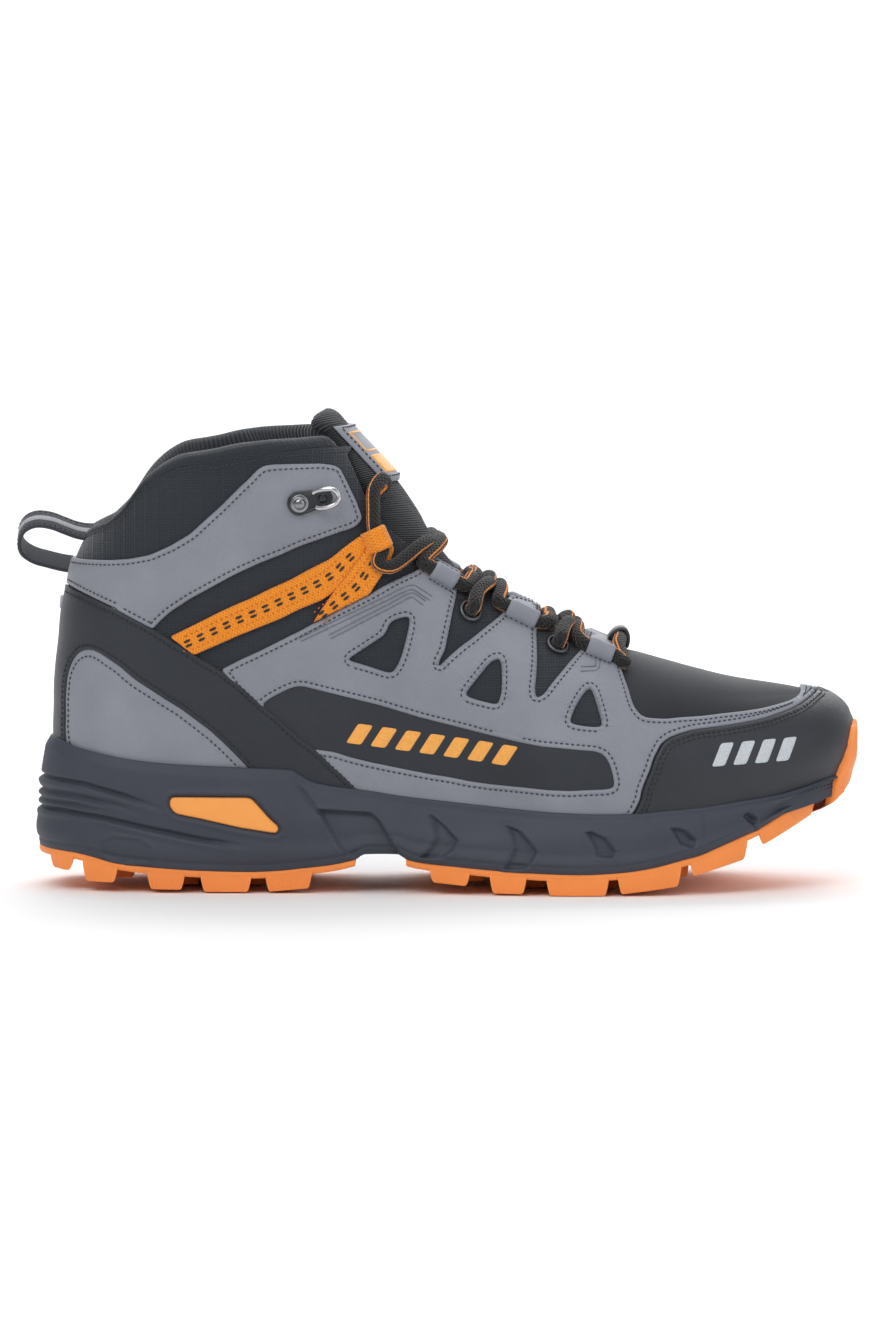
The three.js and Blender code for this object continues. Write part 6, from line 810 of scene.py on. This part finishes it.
def tongue_rows(a0, a1, y0, y1, top):
    R = []
    for pth in ([(a, y0) for a in np.linspace(a0, a1, 60)], [(a, y1) for a in np.linspace(a0, a1, 60)], [(a0, y) for y in np.linspace(y0, y1, 60)], [(a1, y) for y in np.linspace(y0, y1, 60)]):
        pp = []
        for a, y_ in pth:
            v = float(np.interp(a, ARCL, VL)); t_ = np.linspace(np.pi * .7, np.pi * 1.3, 121); g = P(t_, np.full(121, v)); th = float(np.interp(y_, g[:, 1], t_)); pp.append((th, v))
        pp = A(pp); p = P(pp[:, 0], pp[:, 1]); n = frame_at(pp[:, 0], pp[:, 1])[2]; p = p + n * top; s = np.r_[0, np.cumsum(np.linalg.norm(np.diff(p, axis=0), axis=1))]; t = np.arange(1., s[-1], 2.); f = lambda ar, q: np.stack([np.interp(q, s, ar[:, k]) for k in range(3)], -1); R.append((f(p, t), unit(f(p, t + .3) - f(p, t - .3) + 1e-9), unit(f(n, t))))
    return R
rr = tongue_rows(La + 1.6 * np.sign(Lb - La), Lb - 1.6 * np.sign(Lb - La), -16.7, 12., 1.4); put(capsules("stitch_label", *[np.vstack([r[i] for r in rr]) for i in range(3)], ST_D), "tongue")

# ------------------------------------------------------------------ webbing straps, tabs, laces
def strap_uv(poly):
    p = A(poly); c = p.mean(0); u, sg, vt = np.linalg.svd(p - c); d = vt[0]; e = vt[1]
    return lambda q: np.c_[(q[:, [0, 2]] - c) @ d, (q[:, [0, 2]] - c) @ e]
def centre_line(poly, n=40):
    p = densify(A(poly), .5); c = p.mean(0); _, _, vt = np.linalg.svd(p - c); d, e = vt[0], vt[1]; a = (p - c) @ d; b = (p - c) @ e; bins = np.linspace(a.min() + 2.5, a.max() - 2.5, n); out = []
    for t in bins:
        m = np.abs(a - t) < 1.2
        if m.sum() > 3: out.append(c + d * t + e * (b[m].min() + b[m].max()) / 2)
    return A(out), e * ((b.max() - b.min()) / 2)
for key, base in (("web1", .85), ("web2", 1.45)):
    for s, nm in ((-1, "lateral"), (1, "medial")):
        o = patch("webbing_%s_%s" % (key[-1], nm), [rounded(O[key], .7, 1)], s, WEB, base=base, t=.85, step=1.5, edge=.45, skirt=.9, uvf=strap_uv(O[key])); put(o, "boot", *(["webbing_loop_" + nm] if key == "web2" else []))
        cl, half = centre_line(O[key]); top = base + .85; D_, Dots = [], []
        th, v = tv_line(cl, s); p = surf(th, v, top); n = frame_at(th, v)[2]; sl = np.r_[0, np.cumsum(np.linalg.norm(np.diff(p, axis=0), axis=1))]; f = lambda ar, q: np.stack([np.interp(q, sl, ar[:, k]) for k in range(3)], -1)
        t = np.arange(2.6, sl[-1] - 1, 5.2); tg_ = unit(f(p, t + .3) - f(p, t - .3)); nn_ = unit(f(n, t)); cr_ = np.cross(nn_, tg_)
        for q in (-.85, .85): D_.append((f(p, t) + cr_ * q, tg_, nn_))
        stitch_obj("webbing_dash_%s_%s" % (key[-1], nm), D_, ST_B, 2.8, .5, .0)
        t = np.arange(1.4, sl[-1] - .6, 2.0); tg_ = unit(f(p, t + .3) - f(p, t - .3)); nn_ = unit(f(n, t)); cr_ = np.cross(nn_, tg_)
        stitch_obj("webbing_dot_%s_%s" % (key[-1], nm), [(f(p, t) + cr_ * q, tg_, nn_) for q in (-2.75, 2.75)], ST_O, .8, .26, .0)
def arch(name, g, a, b, t, base, l0, l1, mat, pinch=0., n=12, k=22, curl=0.):
    """folded band over a lace: half-ellipse section run along u from l0 to l1"""
    L = np.linspace(l0, l1, n); rows = []
    for l in L:
        e = abs(2 * (l - l0) / (l1 - l0) - 1); rnd = math.sqrt(max(0., 1 - max(0, (e - .82) / .18) ** 2)) ; tt_ = t * (.45 + .55 * rnd); q = np.linspace(0, np.pi, k); sc = 1 - pinch * (1 - e * e)
        outer = np.c_[(a + tt_) * np.cos(q) * sc, base + (b + tt_ - base) * np.sin(q)]; inner = np.c_[a * np.cos(q[::-1]) * sc, base + (b - base) * np.sin(q[::-1])]; sec = np.vstack([outer, inner]); rows.append(g['c'] + g['u'] * l + sec[:, :1] * g['w'] + sec[:, 1:] * g['n'])
    R_ = A(rows); m, kk_, _ = R_.shape; uv = np.stack(np.broadcast_arrays(L[:, None] / 1000, np.arange(kk_)[None] * .6 / 1000), -1).reshape(-1, 2)
    return fix_normals(mesh(name, R_.reshape(-1, 3), [tuple(f) for f in grid_faces(m, kk_, wrap=True)] + [tuple(range(kk_)), tuple((m - 1) * kk_ + i for i in range(kk_))], mat, uv=uv))
LOOPS = [('rear', .6, 113.9, (.86, -.5), 4.9), ('mid', 29.6, 98.8, (.9, -.44), 5.9), ('front', 58.3, 85.3, (.93, -.37), 5.0)]
AR = {}
for s, nm in ((-1, "lateral"), (1, "medial")):
    AR['web', s] = arch_frame(-23.4, 128.2, s, (-.42, .91)); put(arch("webbing_fold_" + nm, AR['web', s], 4.0, 6.9, 1.0, .6, -4.3, 4.3, WEB), "boot")
    for k_, x, z, d, hf in LOOPS:
        AR[k_, s] = arch_frame(x, z, s, d); g = AR[k_, s]; put(arch("lace_loop_%s_%s" % (k_, nm), g, 2.85, 5.7, 1.0, .6, -hf, hf, GREY, pinch=.12), "boot", "lace_loop_%s_%s" % (k_, nm))
        rows_ = []
        for sg in (-1, 1):
            pts = A([g['c'] + g['u'] * l - g['w'] * sg * 4.5 + g['n'] * 1.75 for l in np.linspace(-hf + .6, hf - .6, 6)]); rows_.append((pts, np.tile(g['u'], (6, 1)), np.tile(unit(g['n'] - g['w'] * sg * .6), (6, 1))))
        stitch_obj("stitch_loop_%s_%s" % (k_, nm), rows_, ST_D)
EYELETS = [(11.3, 102.), (43.2, 89.2)]
BAR_L = 115.5
def half(s, off):
    Pn = []
    def tun(g, h2, n_=2.95): 
        for l in (h2 + 1.6, 0, -h2 - 1.6): Pn.append(g['c'] + g['u'] * l + g['n'] * n_)
    def cross(a, b, c_):
        l0, y0 = ridge_coords(a[0], a[1], a[2]); l1, y1 = ridge_coords(b[0], b[1], b[2])
        for t in (0, .12, .22, .36, .5, .64, .78, .88, 1):
            w_ = float(smooth((min(t, 1 - t) - .17) / .2)); o_ = a[3] + (b[3] - a[3]) * t; Pn.append(ridge(l0 + (l1 - l0) * t, y0 + (y1 - y0) * t, o_ * (1 - w_) + c_ * w_))
    sp = lambda x, z, sd, o_: side_point(x, z, sd, o_)
    Pn.extend([ridge(BAR_L, s * 3.5, 4.), ridge(BAR_L, s * 8.5, 3.9), ridge(BAR_L, s * 14, 3.4), sp(67., 80.6, s, 3.1)])
    tun(AR['front', s], 4.6, 3.0); cross((49.6, 90.4, s, 3.1), (44.4, 92.6, -s, 4.), off[0])
    def hole(i):
        x, z = EYELETS[i]; Pn.extend([sp(x, z, -s, o_) for o_ in (4.2, 1.4, -1.4, -4.2)])
    hole(1); Pn.append(sp(42.9, 92.5, -s, -5.6)); cross((41.6, 95.4, -s, -4.9), (38.4, 95.6, s, 3.1), off[1]); tun(AR['mid', s], 5.4); cross((20.6, 103.2, s, 3.1), (12.6, 106.6, -s, 4.), off[2])
    hole(0); Pn.append(sp(12., 106., -s, -5.6)); cross((11.6, 109.8, -s, -4.9), (8.2, 109.6, s, 3.1), off[3]); tun(AR['rear', s], 4.4); cross((-7.2, 118.6, s, 3.1), (-18.6, 117.6, -s, 4.), off[4])
    Pn.append(sp(-22.9, 119.4, -s, 3.9)); g = AR['web', -s]
    for l in (-3.6, 0, 3.8): Pn.append(g['c'] + g['u'] * l + g['n'] * 3.9)
    Pn.extend([sp(-25.6, 139, -s, 3.4), sp(-25.6, 145.5, -s, 3.4), sp(-23, 148.6, -s, 3.6), sp(-20.8, 147.6, -s, 1.6), sp(-23.4, 144, -s, -4.2), sp(-27, 139, -s, -8.3), sp(-31, 131, -s, -9.2)]); return Pn
hA, hB = half(-1, (-1.2, -6.5, -1.2, -6.5, -1.2)), half(1, (-6.5, -1.2, -6.5, -1.2, -6.5)); LC = catmull(hA[::-1] + hB, 1500)
lace = sweep("lace_cord", LC, circ(2.62, 16, .94), CORD, uvscale=1.0)
put(lace, "boot", "lace")
for e, o_ in ((0, "medial"), (-1, "lateral")):
    d = unit(LC[e] - LC[1 if e == 0 else -2]); q = A([LC[e] + d * t for t in (-.6, .2, 1.2, 6, 12.4, 13.1, 13.4)]); put(sweep("lace_tip_end_" + o_, q, circ(1.62, 16), TIP, scale=[1.32, 1.2, 1., .98, .95, .85, .5]), "boot", "lace_tip_" + o_)
# lace guide on the vamp
t_ = unit(A([frontx(BAR_L - 2) - frontx(BAR_L + 2), 0, frontz(BAR_L - 2) - frontz(BAR_L + 2)])); g = dict(c=ridge(BAR_L, 0, 0.), u=A([0, 1., 0]), w=t_, n=A([-t_[2], 0, t_[0]])); put(arch("lace_guide_loop", g, 3.2, 6.5, 1.25, 1.2, -6.6, 6.6, BLACK, pinch=.1), "boot", "lace_guide")
# eyelets and speed hooks
for s, nm in ((-1, "lateral"), (1, "medial")):
    for i, (x, z) in enumerate(EYELETS):
        r = 2.9; put(revolve("eyelet_ring_%s_%s" % ("rf"[i], nm), [[r + .5, -1.2], [r, -1.2], [r - .02, .6], [r + .12, 1.35], [r + .45, 1.78], [r + .85, 1.86], [r + 1.25, 1.72], [r + 1.55, 1.4], [r + 1.6, 1.1], [r + 1.5, .9]], side_point(x, z, s), side_normal(x, z, s), EYE, 44), "boot", "eyelet_%s_%s" % (("rear", "front")[i], nm))
        # dark cup inside the eyelet ring: painted shade of the opening around the lace
        put(revolve("eyelet_hole_%s_%s" % ("rf"[i], nm), [[r + .35, .2], [r + .2, -.9], [r - .5, -1.6], [.02, -1.8]], side_point(x, z, s), side_normal(x, z, s), TIP, 30), "boot")
    h = arch_frame(-46.8, 143.1, s, (.975, .22)); pill = [(4.9 + 3.2 * math.cos(q), 3.2 * math.sin(q)) for q in np.linspace(-np.pi / 2, np.pi / 2, 16)] + [(-4.4 + 4.4 * math.cos(q), 4.4 * math.sin(q)) for q in np.linspace(np.pi / 2, 1.5 * np.pi, 22)]; pl = A(pill); rows_ = []
    for sc, o_ in ((1., 1.4), (1., 2.35), (.975, 2.62), (.92, 2.8), (.86, 2.86), (.82, 2.74), (.5, 2.72), (.02, 2.72)): q = (pl - pl.mean(0)) * sc + pl.mean(0); rows_.append(h['c'] + q[:, :1] * h['u'] + q[:, 1:] * h['w'] + h['n'] * o_)
    R_ = A(rows_); put(fix_normals(mesh("hook_plate_" + nm, R_.reshape(-1, 3), grid_faces(len(rows_), len(pl), wrap=True), HOOKM)), "boot", "speed_hook_" + nm)
    put(revolve("hook_rivet_head_" + nm, [[0.01, 4.75], [.9, 4.7], [1.7, 4.35], [2.05, 3.9], [2.2, 3.4], [2.6, 3.25], [3.1, 3.3], [3.35, 3.1], [3.4, 2.6]], h['c'] - h['u'] * 4.4, h['n'], RIVM, 40), "boot", "hook_rivet_" + nm)
    put(revolve("hook_rivet_front_" + nm, [[0.01, 3.7], [.9, 3.62], [1.5, 3.3], [1.7, 2.8]], h['c'] + h['u'] * 4.3, h['n'], HOOKM, 30), "boot")
    hp = catmull([h['c'] + h['u'] * a + h['w'] * w_ + h['n'] * b for a, b, w_ in ((1.2, 3.2, -2.6), (2.6, 4.4, -3.2), (5.4, 5.9, -3.3), (8.4, 6.6, -2.5), (9.9, 6.7, 0.), (8.4, 6.6, 2.5), (5.4, 5.9, 3.3), (2.6, 4.4, 3.2), (1.2, 3.2, 2.6))], 60); put(sweep("hook_ring_" + nm, hp, circ(.95, 12), BRIGHT), "boot")

# ------------------------------------------------------------------ heel loop and tag
tl = math.radians(-30); qa = A([0, math.sin(tl), math.cos(tl)]); wa = A([0, math.cos(tl), -math.sin(tl)])
LPc = [A([x, 0, 124.2]) + qa * q for x, q in [[-127.6, 6.6], [-130.8, 6.8], [-134., 7.6], [-138.5, 9.6], [-143, 11.6], [-148.5, 12.2], [-152.6, 10.], [-154.6, 5.4], [-154., .2], [-150., -3.4], [-144.5, -5.4], [-139., -7.], [-135.6, -7.6]]]
lpth = catmull(LPc, 150); Tn = unit(np.gradient(lpth, axis=0)); up_ = np.cross(Tn, wa)
def loopput(o, *nodes):
    if nodes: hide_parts(*nodes)
    DONE.append(o); M3(-137.5, 0, 120.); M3(-152., 0, 120.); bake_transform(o); return o
pl_ = sweep("pull_loop_band", lpth, [(b, a) for a, b in roundrect(.75, 5.2, .55, 3)], LOOPM, up=up_); loopput(pl_, "pull_loop")
fl = 1. if (up_[75] @ (lpth[75] - lpth.mean(0))) > 0 else -1.
loopput(sweep("pull_loop_stripe", lpth[2:-2] + up_[2:-2] * fl * .72, [(b, a) for a, b in roundrect(.16, 1.35, .12, 2)], STRIPE, up=up_[2:-2]))
for q in (-3.9, 3.9):
    pp = lpth[4:-4] + up_[4:-4] * fl * .76 + wa * q; sl = np.r_[0, np.cumsum(np.linalg.norm(np.diff(pp, axis=0), axis=1))]; t = np.arange(1, sl[-1], 2.); f = lambda ar, x: np.stack([np.interp(x, sl, ar[:, k]) for k in range(3)], -1); loopput(capsules("pull_loop_stitch_%s" % ("a" if q < 0 else "b"), f(pp, t), unit(f(pp, t + .3) - f(pp, t - .3)), unit(f(up_[4:-4] * fl, t)), ST_B, 1.1, .24, .0))
ht = [(a, b) for a, b in roundrect(2.6, 2.4, .6, 4)]; c0 = A([-139.25, 0, 104]); zt = unit(A([.1, 0, 1])); xo = unit(A([-1, 0, .1])); R_ = A([[c0 + A([0, 1, 0]) * a * sc + zt * b * sc + xo * o_ for a, b in ht] for sc, o_ in ((1.02, -.8), (1., .45), (.95, .72), (.86, .82), (.5, .84), (.02, .84))]); put(fix_normals(mesh("heel_tag_patch", R_.reshape(-1, 3), grid_faces(6, len(ht), wrap=True), TAG)), "boot", "heel_tag")

# embossed double lines on the cage
EMB_M = synthetic("emboss_line", srgb(104, 107, 114))
for s, nm in ((-1, "lateral"), (1, "medial")):
    for i, e in enumerate(EMBOSS):
        for j, off_ in enumerate((-.75, .75)):
            q = densify(rounded(e, .8, 2, closed=False), .6, False); tn_ = unit(np.gradient(q, axis=0)); q = q + np.c_[-tn_[:, 1], tn_[:, 0]] * off_; th, v = inv(q[:, 0], q[:, 1], s); put(sweep("emboss_%d_%d_%s" % (i, j, nm), surf(th, v, 1.42), circ(.2, 6), EMB_M), "boot")
# ------------------------------------------------------------------ printed bars, inner CAD parts
bars("print_side", -34., 28., 54.5, 61.5, -.137, 4.5, 7, PRINT_O, .78); bars("print_toe", 99., 130., 46., 54., .06, 3.5, 4, PRINT_S, 1.66)
for nme, mt in (("insole_board", BOARD), ("heel_counter", STIFF), ("toe_puff", STIFF)):
    ob = F["nodes"].get(nme) if isinstance(F["nodes"], dict) else None
    if ob is not None:
        for sl_ in ob.material_slots: sl_.material = mt

bpy.context.view_layer.update()
